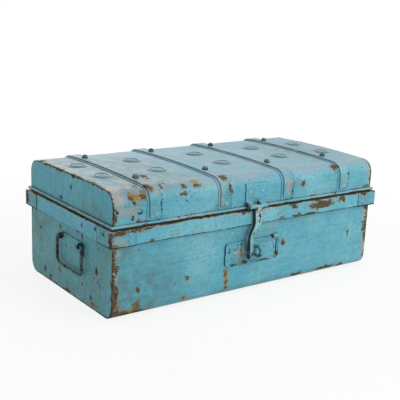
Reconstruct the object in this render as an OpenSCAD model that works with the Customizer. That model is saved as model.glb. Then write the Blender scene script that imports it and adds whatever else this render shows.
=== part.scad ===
// Sheet-steel footlocker with a hinged lid, a hasp and a bail handle on each end.
// Millimetres. X runs along the trunk, the front faces -Y and Z is up.
// The origin is the middle of the floor patch that the trunk stands on.

/* [Body] */
// Outside length over the two end panels
body_length = 760; // [640:1:900]
// Outside depth over the front and back walls
body_depth = 388; // [330:1:460]
// Height of the line where the lid parts from the body
body_height = 199; // [175:1:260]
// Outside radius of the two long bottom edges
body_edge_radius = 26; // [12:1:36]
// Thickness of the sheet that body and lid are bent from
sheet = 1; // [0.7:0.1:1.6]
// Depth of the flange that each end panel turns inward
flange_depth = 15; // [8:1:25]

/* [Collar] */
// Height of the folded collar round the top of the body
collar_height = 34; // [28:1:40]
// How far the collar stands out from the walls
collar_reach = 9; // [8:0.5:12]
// Thickness of the collar's sheet
collar_sheet = 1; // [0.7:0.1:2]
// Length of each leg of a corner plate
corner_leg = 60; // [52:1:80]
// Thickness of a corner plate
corner_sheet = 1.2; // [0.8:0.1:2]
// How far a corner plate reaches below the collar
corner_drop = 1.5; // [0:0.5:4]
// Distance from a corner plate's fold to its rivets
corner_rivet_inset = 46; // [30:1:47]
// Height between the two rivets of a leg
corner_rivet_pitch = 14; // [11:1:18]

/* [Inner lip] */
// How far the lip stands up inside the lid
lip_rise = 10; // [5:1:14]
// How far the lip reaches down inside the body
lip_drop = 24; // [14:1:30]
// Thickness of the lip's sheet
lip_sheet = 1; // [0.7:0.1:2]
// Clearance between the lip and the lid's walls
lip_gap = 2.5; // [2.2:0.1:4]
// Depth below the parting line at which the lip steps inward
lip_step = 6; // [5:1:9]

/* [Lid] */
// Height of the lid from the parting line to the crown
lid_height = 82; // [74:1:120]
// Rise of the crowned top over its shoulders
lid_crown = 4; // [1:0.5:10]
// Outside radius of the two long top edges
lid_edge_radius = 31; // [20:1:40]
// Radius of the wired bead round the lid's foot
bead_radius = 3.2; // [2.6:0.1:3.6]
// Height of the bead's middle above the parting line
bead_lift = 6.2; // [5.6:0.1:6.6]
// Distance of the bead's middle outside the wall
bead_out = 2.5; // [1.5:0.1:3]

/* [Straps and ornaments] */
// Width of a strap
strap_width = 40; // [36:1:44]
// Thickness of a strap's flat edges
strap_sheet = 1.6; // [1:0.1:2.5]
// Width of the raised rib along a strap
rib_width = 29; // [24:1:31]
// Height of the rib over the lid's sheet
rib_height = 4.5; // [3:0.1:6]
// Distance from the lid's ends to the middles of the end straps
strap_end_inset = 101; // [90:1:120]
// Height of a strap's ends above the parting line
strap_end_lift = 12; // [10:1:18]
// Distance from a strap's end to the end of its rib
rib_end_inset = 5; // [3:0.5:9]
// Radius of the corners at a rib's ends
rib_corner_radius = 6; // [4:0.5:9]
// Distance from the end of a rib to the strap's rivet
strap_rivet_inset = 6.5; // [6:0.5:9]
// Radius of a stud
stud_radius = 7; // [5:0.5:8]
// Height of a stud's dome
stud_height = 8.5; // [5:0.5:12]
// Distance of each row of studs from the lid's middle line
stud_row = 114; // [90:1:130]
// Outside radius of a rosette
rosette_radius = 23; // [20:1:28]
// Thickness of a rosette's disc
rosette_sheet = 1; // [0.6:0.1:2]
// Radius of the middle of a rosette's raised ring
rosette_ring_radius = 16; // [13:1:17]
// Radius of the ring's round section
rosette_ring_wire = 1.8; // [1.5:0.1:2.6]
// Radius of a rosette's middle boss
rosette_boss_radius = 8; // [5:0.5:10]
// Height of the boss over the disc
rosette_boss_height = 2.8; // [2:0.1:5]
// Distance of each row of rosettes from the lid's middle line
rosette_row = 56; // [40:1:75]

/* [Hasp] */
// Place of the hasp's leaf along the front, from the middle
hasp_shift = -5; // [-40:1:40]
// Width of the leaf that carries the hasp
hasp_leaf_width = 61; // [56:1:80]
// Height of the hasp's leaf
hasp_leaf_height = 45; // [34:1:50]
// Thickness of the hasp's leaf
hasp_leaf_sheet = 2.5; // [1.5:0.1:3]
// Height of the leaf's lower edge above the parting line
hasp_leaf_lift = 16; // [15:1:20]
// Distance between the two rivets of the leaf
hasp_leaf_rivet_pitch = 37; // [24:1:46]
// Height of the leaf's rivets above its lower edge
hasp_leaf_rivet_lift = 24; // [12:1:26]
// Height of the hasp's pin above the parting line
hasp_axis_lift = 10; // [9:0.5:12]
// Radius of the hasp's pin
hasp_pin_radius = 2.5; // [2:0.1:3]
// Wall of the knuckles round the hasp's pin
hasp_knuckle_wall = 2.4; // [1.8:0.1:2.6]
// Width of each knuckle of the leaf
hasp_knuckle_width = 16; // [12:1:17]
// Width of the eye that turns on the pin, and of the strap below it
hasp_eye_width = 19; // [14:1:20]
// Place of the eye along the leaf, from the leaf's middle
hasp_eye_shift = -4; // [-5:0.5:5]
// Thickness of the strap
hasp_strap_thickness = 8; // [5:0.1:9]
// Gap between the hanging hasp and the collar
hasp_standoff = 1.8; // [1:0.1:2.5]
// Distance from the parting line down to where the strap begins to bend
hasp_bend_drop = 24; // [18:1:27]
// How far the strap leans to the right before it bends
hasp_lean = 3; // [0:0.5:4]
// Height over which the strap bends aside and narrows to the blade
hasp_bend_height = 43; // [32:1:44]
// Thickness of the blade that hangs beside the staple
blade_thickness = 10; // [6:0.5:12]
// Depth of the blade, front to back
blade_depth = 12; // [11:0.5:16]
// How far the blade steps back towards the lock plate
blade_return = 2.3; // [1:0.1:3]
// Radius of the padlock hole in the blade
blade_hole_radius = 3.8; // [3:0.1:4]
// Length of the blade below its hole
blade_tip = 16; // [12:1:22]
// Gap between the blade and the staple
blade_gap = 15; // [8:0.5:18]

/* [Lock plate and staple] */
// Distance from the parting line down to the staple's eye
staple_drop = 99; // [88:1:106]
// Place of the staple along the front, from the leaf's middle
staple_shift = 4; // [0:0.5:6]
// Radius of the staple's eye
staple_bore_radius = 8.5; // [8:0.1:10]
// Wall of the staple round its eye
staple_wall = 6; // [4:0.5:8]
// Thickness of the staple
staple_thickness = 6; // [4:0.5:10]
// Depth of the flat where the staple sits on the plate
staple_flat = 1.5; // [1:0.1:2.5]
// Radius of the staple's shank through plate and wall
staple_shank_radius = 3; // [2:0.1:3.5]
// Width of the lock plate
lock_plate_width = 164; // [150:1:190]
// Height of the lock plate
lock_plate_height = 56; // [50:1:64]
// Thickness of the lock plate at its hem
lock_plate_thickness = 3; // [2.2:0.1:4]
// Corner radius of the lock plate
lock_plate_radius = 9; // [7:0.5:14]
// Width of the raised hem round the lock plate
lock_hem_width = 5; // [3:0.5:6]
// Height of the hem over the plate's middle
lock_hem_height = 1.2; // [0.6:0.1:1.4]
// Height of the lock plate's middle below the staple's eye
lock_plate_sink = 2; // [0:0.5:6]
// Width of the narrow slot near the plate's right end
lock_slot_width = 3.6; // [2:0.1:4]
// Height of the slot
lock_slot_height = 40; // [30:1:42]
// Distance from the plate's right end to the slot's middle
lock_slot_inset = 11; // [9:0.5:14]
// Length of the rolled knuckle on the lock plate's top edge
lock_knuckle_length = 21; // [14:1:26]
// Radius of the rolled knuckle
lock_knuckle_radius = 4; // [3.2:0.1:5]
// Distance from the plate's right end to the knuckle's middle
lock_knuckle_inset = 16; // [14:0.5:22]
// Distance between the two rivets of the lock plate
lock_plate_rivet_pitch = 110; // [80:1:124]
// Distance between the two rivets above the lock plate
lock_upper_rivet_pitch = 128; // [100:1:134]
// Distance from the parting line down to the upper rivets
lock_upper_rivet_drop = 51; // [46:1:56]
// Width of the backing plate inside the front wall
lock_backing_width = 150; // [146:1:170]
// Thickness of the backing plate
lock_backing_sheet = 2; // [1:0.1:3]
// Margin of the backing plate round the rivets that hold it
lock_backing_margin = 10; // [8:1:14]

/* [Handles] */
// Distance from the collar's lower edge down to the handle's axis
handle_drop = 33; // [30:1:44]
// Place of the handles along the ends, from the middle
handle_shift = -19; // [-30:1:30]
// Distance between the middles of the two eyes
handle_eye_pitch = 92; // [84:1:96]
// Outside radius of an eye
handle_eye_radius = 7.5; // [7:0.1:9]
// Width of an eye along the handle's axis
handle_eye_width = 6; // [5:0.5:8]
// Depth of the flat where an eye sits on its plate
handle_eye_flat = 0.6; // [0.4:0.1:1]
// Radius of the bail's wire
bail_wire_radius = 3.5; // [3:0.1:4]
// Distance from the axis to the bail's lower bar
bail_reach = 66; // [58:1:72]
// Distance from an eye's middle to the bail's leg
bail_overhang = 11.5; // [11:0.5:16]
// Centre-line radius of the bends at the top of the bail
bail_top_bend = 7; // [5:0.5:7.5]
// Centre-line radius of the bends at the bottom of the bail
bail_bottom_bend = 14; // [8:1:20]
// Radius of the heads on the bail's ends
bail_head_radius = 5.6; // [5:0.1:6]
// Thickness of the heads on the bail's ends
bail_head_thickness = 2.5; // [2:0.1:4]
// Length of a handle's backing plate
handle_plate_length = 104; // [98:1:130]
// Height of a handle's backing plate
handle_plate_height = 34; // [30:1:44]
// Thickness of a handle's backing plate
handle_plate_sheet = 2; // [1.5:0.1:3]
// Distance from the handle's axis down to the middle of its backing plate
handle_plate_drop = 10; // [6:0.5:11]
// Corner radius of a handle's backing plate
handle_plate_radius = 6; // [3:0.5:10]
// Distance between a plate's rivets along the handle
handle_rivet_pitch = 56; // [40:1:60]
// Distance between a plate's rivets up the wall
handle_rivet_rise = 17; // [12:1:19]

/* [Hinges] */
// Distance from the lid's ends to the middles of the hinges
hinge_end_inset = 194; // [160:1:220]
// Width of a hinge over its knuckles
hinge_width = 66; // [56:1:76]
// Width of the lid's knuckle in the middle
hinge_lid_knuckle = 30; // [24:1:36]
// Thickness of the hinge leaves
hinge_sheet = 3; // [2:0.1:3.5]
// Radius of the hinge pin
hinge_pin_radius = 2.2; // [1.8:0.1:2.4]
// Wall of the knuckles round the hinge pin
hinge_knuckle_wall = 2.4; // [2:0.1:2.5]
// Thickness of the heads on the hinge pin
hinge_head_thickness = 1.5; // [1:0.1:2]
// Height of the lid's leaf above the parting line
hinge_lid_leaf = 40; // [34:1:44]
// Height of the body's leaf below the parting line
hinge_body_leaf = 30; // [24:1:32]
// Distance between the two rivets of a leaf
hinge_rivet_pitch = 40; // [30:1:46]
// Distance of a body leaf's rivets below the parting line
hinge_body_rivet_drop = 15; // [12:1:16]
// Distance of a lid leaf's rivets above the parting line
hinge_lid_rivet_lift = 27; // [22:1:28]

/* [Rivets] */
// Radius of a rivet's domed head
rivet_head_radius = 4.5; // [3.5:0.1:5]
// Height of a rivet's head
rivet_head_height = 2.4; // [1.5:0.1:2.6]
// Radius of a rivet's shank
rivet_shank_radius = 2; // [1.5:0.1:2.5]
// Radius of a rivet's closed tail
rivet_tail_radius = 3.2; // [2.8:0.1:4]
// Height of a rivet's closed tail
rivet_tail_height = 1.2; // [0.8:0.1:2]

/* [Clearances] */
// Radial clearance of a pin in its bore
pin_clearance = 0.08; // [0.02:0.01:0.1]
// Radial clearance of a shank in its hole
shank_clearance = 0.1; // [0.05:0.01:0.2]
// Gap between neighbouring knuckles along a pin
knuckle_gap = 0.4; // [0.3:0.1:0.8]
// Gap between a turning knuckle and the walls beside it
turning_gap = 0.35; // [0.3:0.05:0.5]
// Gap between the lid's bead and the heads of a hinge
bead_notch_gap = 3; // [1:0.5:5]

/* [Hidden] */
$fn = 64;

// The four walls
FRONT = "front";
RIGHT = "right";
BACK = "back";
LEFT = "left";

// Colours
PAINT = "#5fb0bd";
SHADE_PAINT = "#4f98a6";
TOP_PAINT = "#8fb4c0";
IRON = "#3b4a4c";
RUST = "#6d4a33";

// Body and collar
half_length = body_length / 2;
half_depth = body_depth / 2;
floor_half_depth = half_depth - body_edge_radius;
collar_bottom = body_height - collar_height;
collar_middle = body_height - collar_height / 2;
corner_plate_height = collar_height + corner_drop;
lip_bottom = body_height - lip_drop;
lip_top = body_height + lip_rise;
lip_step_height = body_height - lip_step;
// Depth that holds any mitred strip, inside or outside the walls
mitre_depth = collar_reach + lip_gap + 4 * bead_radius;

// Lid: two edge arcs that run into one wide crown arc
crown_facets = 2400;
crown_top = body_height + lid_height;
shoulder_y = half_depth - lid_edge_radius;
crown_radius = (shoulder_y * shoulder_y + lid_crown * lid_crown) / (2 * lid_crown);
crown_centre = crown_top - crown_radius;
shoulder_z = crown_centre + sqrt(pow(crown_radius - lid_edge_radius, 2) - shoulder_y * shoulder_y);
lid_flange_foot = lip_top + lip_gap;

// Straps and ornaments
end_strap_x = half_length - strap_end_inset;
strap_places = [-end_strap_x, -end_strap_x / 3, end_strap_x / 3, end_strap_x];
strap_end_z = body_height + strap_end_lift;
rib_end_z = strap_end_z + rib_end_inset;
rib_corner_z = rib_end_z + rib_corner_radius;
strap_rivet_z = rib_end_z + strap_rivet_inset;
// One pair of rosettes in the middle of each bay between the straps and the lid's ends
end_bay_x = half_length - strap_end_inset / 2;
rosette_places = [-end_bay_x, -end_strap_x * 2 / 3, 0, end_strap_x * 2 / 3, end_bay_x];

// Hasp and staple
hasp_knuckle_radius = hasp_pin_radius + pin_clearance + hasp_knuckle_wall;
hasp_axis_out = collar_reach + hasp_standoff + hasp_strap_thickness / 2;
hasp_axis_z = body_height + hasp_axis_lift;
hasp_leaf_foot = body_height + hasp_leaf_lift;
hasp_leaf_rivet_z = hasp_leaf_foot + hasp_leaf_rivet_lift;
hasp_knuckle_start = hasp_eye_width / 2 + knuckle_gap;
hasp_pin_half = hasp_knuckle_start + hasp_knuckle_width;
hasp_x = hasp_shift + hasp_eye_shift;
hasp_shoulder_z = hasp_axis_z - hasp_knuckle_radius - turning_gap;
hasp_bend_z = body_height - hasp_bend_drop;
hasp_bend_x = hasp_x + hasp_lean;
hasp_bend_steps = 10;
hasp_back_out = hasp_axis_out - hasp_strap_thickness / 2;
hasp_front_out = hasp_axis_out + hasp_strap_thickness / 2;
staple_z = body_height - staple_drop;
staple_x = hasp_shift + staple_shift;
staple_radius = staple_bore_radius + staple_wall;
staple_seat = lock_plate_thickness - lock_hem_height;
staple_out = staple_seat + staple_radius - staple_flat;
staple_grip = staple_seat + sheet + lock_backing_sheet;
blade_x = staple_x - staple_thickness / 2 - blade_gap - blade_thickness / 2;
blade_top_z = hasp_bend_z - hasp_bend_height;
blade_back_out = hasp_back_out - blade_return;
blade_front_out = blade_back_out + blade_depth;
blade_hole_out = blade_back_out + blade_depth / 2;
blade_return_z = staple_z + blade_depth;
lock_plate_z = staple_z - lock_plate_sink;
lock_upper_rivet_z = body_height - lock_upper_rivet_drop;
lock_backing_foot = staple_z - 2 * lock_backing_margin;
lock_backing_height = lock_upper_rivet_z + lock_backing_margin - lock_backing_foot;

// Handles
handle_z = collar_bottom - handle_drop;
handle_plate_z = handle_z - handle_plate_drop;
handle_axis_out = handle_plate_sheet + handle_eye_radius - handle_eye_flat;
bail_leg = handle_eye_pitch / 2 + bail_overhang;
bail_inner_end = (handle_eye_pitch - handle_eye_width) / 2 - knuckle_gap;

// Hinges
hinge_knuckle_radius = hinge_pin_radius + pin_clearance + hinge_knuckle_wall;
hinge_axis_out = hinge_knuckle_radius + turning_gap;
hinge_axis_z = body_height + hinge_axis_out;
hinge_leaf_out = collar_reach + hinge_sheet;
hinge_relief_out = hinge_axis_out + hinge_knuckle_radius + turning_gap;
hinge_places = [hinge_end_inset - half_length, half_length - hinge_end_inset];

// Turn about Z from the front wall to a wall
function wall_turn(side) = side == FRONT ? 0 : side == RIGHT ? 90 : side == BACK ? 180 : 270;
// True for the front and back walls, which run along the trunk
function is_long(side) = side == FRONT || side == BACK;
// Half of a wall's run, and its distance from the middle
function wall_run(side) = is_long(side) ? half_length : half_depth;
function wall_distance(side) = is_long(side) ? half_depth : half_length;
// Height of the crowned top at a distance from the lid's middle line
function crown_z(y) = crown_centre + sqrt(crown_radius * crown_radius - y * y);
// Place across the hasp's bend, from its start to the blade, with a smooth start and end
function bend_x(part) = hasp_bend_x + (blade_x - hasp_bend_x) * (1 - cos(180 * part)) / 2;
// Half of the strap's width along the bend
function bend_half(part) = (hasp_eye_width + (blade_thickness - hasp_eye_width) * part) / 2;
// One edge of the hasp's strap from its eye to the blade, to the left with -1 and the right with 1
function strap_edge(hand) = [
    [hasp_x + hand * hasp_eye_width / 2, hasp_axis_z],
    [hasp_x + hand * hasp_eye_width / 2, hasp_shoulder_z],
    for (step = [0:hasp_bend_steps])
        let (part = step / hasp_bend_steps)
            [bend_x(part) + hand * bend_half(part), hasp_bend_z - part * hasp_bend_height],
];
// The points of a list from last to first
function reversed(points) = [for (place = [len(points) - 1:-1:0]) points[place]];
// Sign that keeps a place along an end wall the same way round on both ends
function end_sign(side) = side == RIGHT ? 1 : -1;

// Extrudes an outline of depth and height along the trunk
module along_x(length) {
    rotate([90, 0, 90])
        linear_extrude(height = length, center = true)
            children();
}

// Puts children on a wall: X along it, Y outward from it, Z up
module on_wall(side) {
    rotate([0, 0, wall_turn(side)])
        translate([0, -wall_distance(side), 0])
            mirror([0, 1, 0])
                children();
}

// Puts children on a wall with their own Z pointing outward
module out_of_wall(side, along, height, out) {
    on_wall(side)
        translate([along, out, height])
            rotate([-90, 0, 0])
                children();
}

// Puts children on the crowned top, square to its surface
module on_top(x, y, out) {
    translate([x, y, crown_z(y)])
        rotate([-asin(y / crown_radius), 0, 0])
            translate([0, 0, out])
                children();
}

// A strip along one wall, cut at 45 degrees where it meets the next wall
module mitred_strip(side) {
    run = wall_run(side);
    on_wall(side)
        intersection() {
            along_x(2 * (run + mitre_depth))
                children();
            linear_extrude(height = crown_top)
                polygon([
                    [-run + mitre_depth, -mitre_depth],
                    [run - mitre_depth, -mitre_depth],
                    [run + mitre_depth, mitre_depth],
                    [-run - mitre_depth, mitre_depth],
                ]);
        }
}

// A flat outline with round corners, centred
module rounded_outline(width, height, radius) {
    square([width - 2 * radius, height], center = true);
    square([width, height - 2 * radius], center = true);
    for (x = [-1, 1], y = [-1, 1])
        translate([x * (width / 2 - radius), y * (height / 2 - radius)])
            circle(r = radius);
}

// A low dome on the plane Z = 0
module dome(radius, height) {
    ball = (radius * radius + height * height) / (2 * height);
    intersection() {
        translate([0, 0, height - ball])
            sphere(r = ball);
        cylinder(r = 2 * radius, h = 2 * height);
    }
}

// A shank with its closed tail, for a stack of sheets of this thickness
module shank(grip) {
    translate([0, 0, -grip - rivet_tail_height])
        cylinder(r = rivet_shank_radius, h = grip + rivet_tail_height);
    translate([0, 0, -grip - rivet_tail_height])
        cylinder(r = rivet_tail_radius, h = rivet_tail_height);
}

// A closed rivet through a stack of sheets of this thickness
module rivet(grip) {
    dome(rivet_head_radius, rivet_head_height);
    shank(grip);
}

// The hole for a shank, through everything near the seat
module shank_hole(depth) {
    translate([0, 0, -depth])
        cylinder(r = rivet_shank_radius + shank_clearance, h = 2 * depth);
}

// Places of the rivets and shanks

module corner_rivet_places(sides) {
    for (side = sides, end = [-1, 1], level = [-0.5, 0.5])
        out_of_wall(
            side,
            end * (wall_run(side) + collar_reach + corner_sheet - corner_rivet_inset),
            collar_middle + level * corner_rivet_pitch,
            collar_reach + corner_sheet
        )
            children();
}

module lock_plate_rivet_places() {
    for (end = [-0.5, 0.5])
        out_of_wall(FRONT, hasp_shift + end * lock_plate_rivet_pitch, staple_z, staple_seat)
            children();
}

module lock_upper_rivet_places() {
    for (end = [-0.5, 0.5])
        out_of_wall(FRONT, hasp_shift + end * lock_upper_rivet_pitch, lock_upper_rivet_z, 0)
            children();
}

module handle_rivet_places(side) {
    for (end = [-0.5, 0.5], level = [-0.5, 0.5])
        out_of_wall(
            side,
            end_sign(side) * handle_shift + end * handle_rivet_pitch,
            handle_plate_z + level * handle_rivet_rise,
            handle_plate_sheet
        )
            children();
}

module handle_eye_places(side) {
    for (end = [-0.5, 0.5])
        out_of_wall(
            side,
            end_sign(side) * handle_shift + end * handle_eye_pitch,
            handle_z,
            handle_plate_sheet
        )
            children();
}

module hinge_body_rivet_places() {
    for (place = hinge_places, end = [-0.5, 0.5])
        out_of_wall(
            BACK,
            place + end * hinge_rivet_pitch,
            body_height - hinge_body_rivet_drop,
            hinge_leaf_out
        )
            children();
}

module hinge_lid_rivet_places() {
    for (place = hinge_places, end = [-0.5, 0.5])
        out_of_wall(
            BACK,
            place + end * hinge_rivet_pitch,
            body_height + hinge_lid_rivet_lift,
            hinge_sheet
        )
            children();
}

module strap_rivet_places(places) {
    for (side = [FRONT, BACK], place = places)
        out_of_wall(side, side == FRONT ? place : -place, strap_rivet_z, rib_height)
            children();
}

module stud_places(places) {
    for (place = places, row = [-1, 1])
        on_top(place, row * stud_row, rib_height)
            children();
}

module hasp_leaf_rivet_places() {
    for (end = [-0.5, 0.5])
        out_of_wall(
            FRONT,
            hasp_shift + end * hasp_leaf_rivet_pitch,
            hasp_leaf_rivet_z,
            hasp_leaf_sheet
        )
            children();
}

module staple_place() {
    out_of_wall(FRONT, staple_x, staple_z, staple_seat)
        children();
}

module staple_hole() {
    translate([0, 0, -2 * staple_grip])
        cylinder(r = staple_shank_radius + shank_clearance, h = 4 * staple_grip);
}

// Body

// Cross-section of the body, drawn in by an inset and reaching up to a height
module body_outline(inset, top) {
    translate([-half_depth + inset, body_edge_radius])
        square([body_depth - 2 * inset, top - body_edge_radius]);
    translate([-floor_half_depth, inset])
        square([2 * floor_half_depth, 2 * body_edge_radius - inset]);
    for (side = [-1, 1])
        translate([side * floor_half_depth, body_edge_radius])
            circle(r = body_edge_radius - inset);
}

module body_wrap() {
    color(PAINT)
        difference() {
            along_x(body_length)
                difference() {
                    body_outline(0, body_height);
                    body_outline(sheet, body_height + sheet);
                }
            lock_plate_rivet_places()
                shank_hole(2 * lock_plate_thickness);
            lock_upper_rivet_places()
                shank_hole(2 * sheet);
            staple_place()
                staple_hole();
        }
}

module body_end(side) {
    color(SHADE_PAINT)
        difference() {
            union() {
                translate([end_sign(side) * (half_length - sheet / 2), 0, 0])
                    along_x(sheet)
                        body_outline(sheet, body_height);
                translate([end_sign(side) * (half_length - sheet - flange_depth / 2), 0, 0])
                    along_x(flange_depth)
                        difference() {
                            body_outline(sheet, lip_bottom);
                            body_outline(2 * sheet, body_height);
                        }
            }
            handle_rivet_places(side)
                shank_hole(2 * handle_plate_sheet + sheet);
            handle_eye_places(side)
                shank_hole(2 * handle_plate_sheet + sheet);
        }
}

// Folded channel, open towards the wall
module collar_side(side) {
    color(PAINT)
        difference() {
            mitred_strip(side)
                difference() {
                    translate([0, collar_bottom])
                        square([collar_reach, collar_height]);
                    translate([-collar_sheet, collar_bottom + collar_sheet])
                        square([collar_reach, collar_height - 2 * collar_sheet]);
                }
            corner_rivet_places([side])
                shank_hole(collar_reach / 2);
            if (side == BACK)
                hinge_body_rivet_places()
                    shank_hole(collar_reach / 2 + hinge_sheet);
        }
}

// Angle plate lapped over one corner of the collar
module corner_plate(right, back) {
    color(PAINT)
        difference() {
            translate([
                right * (half_length + collar_reach + corner_sheet),
                back * (half_depth + collar_reach + corner_sheet),
                collar_bottom - corner_drop,
            ])
                linear_extrude(height = corner_plate_height)
                    scale([right, back])
                        polygon([
                            [0, 0],
                            [-corner_leg, 0],
                            [-corner_leg, -corner_sheet],
                            [-corner_sheet, -corner_sheet],
                            [-corner_sheet, -corner_leg],
                            [0, -corner_leg],
                        ]);
            corner_rivet_places([back < 0 ? FRONT : BACK, right > 0 ? RIGHT : LEFT])
                shank_hole(collar_reach / 2);
        }
}

module collar_corner_rivets() {
    color(PAINT)
        corner_rivet_places([FRONT, RIGHT, BACK, LEFT])
            rivet(corner_sheet + collar_sheet);
}

// Strip against the wall's inner face that steps inward under the lid
module lip_side(side) {
    color(SHADE_PAINT)
        mitred_strip(side)
            polygon([
                [-sheet, lip_bottom],
                [-sheet, lip_step_height],
                [-sheet - lip_gap, lip_step_height + lip_gap],
                [-sheet - lip_gap, lip_top],
                [-sheet - lip_gap - lip_sheet, lip_top],
                [-sheet - lip_gap - lip_sheet, lip_step_height + lip_gap],
                [-sheet - lip_sheet, lip_step_height],
                [-sheet - lip_sheet, lip_bottom],
            ]);
}

// Lock plate and staple

module lock_plate() {
    color(PAINT)
        difference() {
            out_of_wall(FRONT, hasp_shift, lock_plate_z, 0)
                difference() {
                    linear_extrude(height = lock_plate_thickness)
                        rounded_outline(lock_plate_width, lock_plate_height, lock_plate_radius);
                    translate([0, 0, staple_seat])
                        linear_extrude(height = lock_plate_thickness)
                            rounded_outline(
                                lock_plate_width - 2 * lock_hem_width,
                                lock_plate_height - 2 * lock_hem_width,
                                lock_plate_radius - lock_hem_width
                            );
                    translate([lock_plate_width / 2 - lock_slot_inset, 0, -lock_plate_thickness])
                        linear_extrude(height = 3 * lock_plate_thickness)
                            square([lock_slot_width, lock_slot_height], center = true);
                }
            lock_plate_rivet_places()
                shank_hole(2 * lock_plate_thickness);
            staple_place()
                staple_hole();
        }
    color(PAINT)
        out_of_wall(
            FRONT,
            hasp_shift + lock_plate_width / 2 - lock_knuckle_inset,
            lock_plate_z + lock_plate_height / 2,
            0
        )
            lock_knuckle();
}

// Roll of the plate's edge, flat where it lies on the wall
module lock_knuckle() {
    intersection() {
        translate([0, 0, lock_plate_thickness])
            rotate([0, 90, 0])
                cylinder(r = lock_knuckle_radius, h = lock_knuckle_length, center = true);
        translate([-lock_knuckle_length, -2 * lock_knuckle_radius, 0])
            cube([2 * lock_knuckle_length, 4 * lock_knuckle_radius, 4 * lock_knuckle_radius]);
    }
}

module lock_backing() {
    color(SHADE_PAINT)
        difference() {
            translate([
                hasp_shift - lock_backing_width / 2,
                -half_depth + sheet,
                lock_backing_foot,
            ])
                cube([lock_backing_width, lock_backing_sheet, lock_backing_height]);
            lock_plate_rivet_places()
                shank_hole(2 * staple_grip);
            lock_upper_rivet_places()
                shank_hole(2 * staple_grip);
            staple_place()
                staple_hole();
        }
}

module lock_rivets() {
    color(PAINT) {
        lock_plate_rivet_places()
            rivet(staple_grip);
        lock_upper_rivet_places()
            rivet(sheet + lock_backing_sheet);
    }
}

// Forged eye with a flat seat and a clenched shank
module padlock_staple() {
    color(IRON) {
        difference() {
            on_wall(FRONT)
                translate([staple_x, staple_out, staple_z])
                    rotate([0, 90, 0])
                        cylinder(r = staple_radius, h = staple_thickness, center = true);
            on_wall(FRONT)
                translate([staple_x, staple_out, staple_z])
                    rotate([0, 90, 0])
                        cylinder(r = staple_bore_radius, h = 2 * staple_thickness, center = true);
            staple_place()
                translate([0, 0, -staple_radius])
                    cylinder(r = 2 * staple_radius, h = staple_radius);
        }
        staple_place() {
            translate([0, 0, -staple_grip - rivet_tail_height])
                cylinder(r = staple_shank_radius, h = staple_grip + rivet_tail_height);
            translate([0, 0, -staple_grip - rivet_tail_height])
                cylinder(r = 2 * staple_shank_radius, h = rivet_tail_height);
        }
    }
}

// Handles

module handle_plate(side) {
    color(SHADE_PAINT)
        difference() {
            out_of_wall(side, end_sign(side) * handle_shift, handle_plate_z, 0)
                linear_extrude(height = handle_plate_sheet)
                    rounded_outline(handle_plate_length, handle_plate_height, handle_plate_radius);
            handle_rivet_places(side)
                shank_hole(2 * handle_plate_sheet);
            handle_eye_places(side)
                shank_hole(2 * handle_plate_sheet);
        }
}

module handle_eyes(side) {
    color(SHADE_PAINT) {
        difference() {
            on_wall(side)
                for (end = [-0.5, 0.5])
                    translate([
                        end_sign(side) * handle_shift + end * handle_eye_pitch,
                        handle_axis_out,
                        handle_z,
                    ])
                        rotate([0, 90, 0])
                            difference() {
                                cylinder(r = handle_eye_radius, h = handle_eye_width, center = true);
                                cylinder(
                                    r = bail_wire_radius + pin_clearance,
                                    h = 2 * handle_eye_width,
                                    center = true
                                );
                            }
            handle_eye_places(side)
                translate([0, 0, -handle_eye_radius])
                    cylinder(r = 2 * handle_eye_radius, h = handle_eye_radius);
        }
        handle_eye_places(side)
            shank(handle_plate_sheet + sheet);
    }
}

module handle_rivets(side) {
    color(SHADE_PAINT)
        handle_rivet_places(side)
            rivet(handle_plate_sheet + sheet);
}

// A quarter bend of the bail's wire, from level to upright
module bail_bend(radius) {
    rotate([90, 0, 0])
        rotate_extrude(angle = 90)
            translate([radius, 0])
                circle(r = bail_wire_radius);
}

// Half of the bail, on the outer side of one eye
module bail_half() {
    translate([bail_inner_end, 0, 0])
        rotate([0, 90, 0])
            cylinder(r = bail_wire_radius, h = bail_leg - bail_top_bend - bail_inner_end);
    translate([bail_inner_end - bail_head_thickness, 0, 0])
        rotate([0, 90, 0])
            cylinder(r = bail_head_radius, h = bail_head_thickness);
    translate([bail_leg - bail_top_bend, 0, -bail_top_bend])
        bail_bend(bail_top_bend);
    translate([bail_leg, 0, -bail_reach + bail_bottom_bend])
        cylinder(r = bail_wire_radius, h = bail_reach - bail_bottom_bend - bail_top_bend);
    translate([bail_leg - bail_bottom_bend, 0, -bail_reach + bail_bottom_bend])
        mirror([0, 0, 1])
            bail_bend(bail_bottom_bend);
}

module handle_bail(side) {
    color(IRON)
        on_wall(side)
            translate([end_sign(side) * handle_shift, handle_axis_out, handle_z]) {
                bail_half();
                mirror([1, 0, 0])
                    bail_half();
                translate([0, 0, -bail_reach])
                    rotate([0, 90, 0])
                        cylinder(
                            r = bail_wire_radius,
                            h = 2 * (bail_leg - bail_bottom_bend),
                            center = true
                        );
            }
}

// Hinges

// A bored knuckle on the hinge's axis
module hinge_knuckle(width) {
    translate([0, hinge_axis_out, hinge_axis_z])
        rotate([0, 90, 0])
            cylinder(r = hinge_knuckle_radius, h = width, center = true);
}

module hinge_bore() {
    translate([0, hinge_axis_out, hinge_axis_z])
        rotate([0, 90, 0])
            cylinder(r = hinge_pin_radius + pin_clearance, h = 2 * hinge_width, center = true);
}

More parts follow.
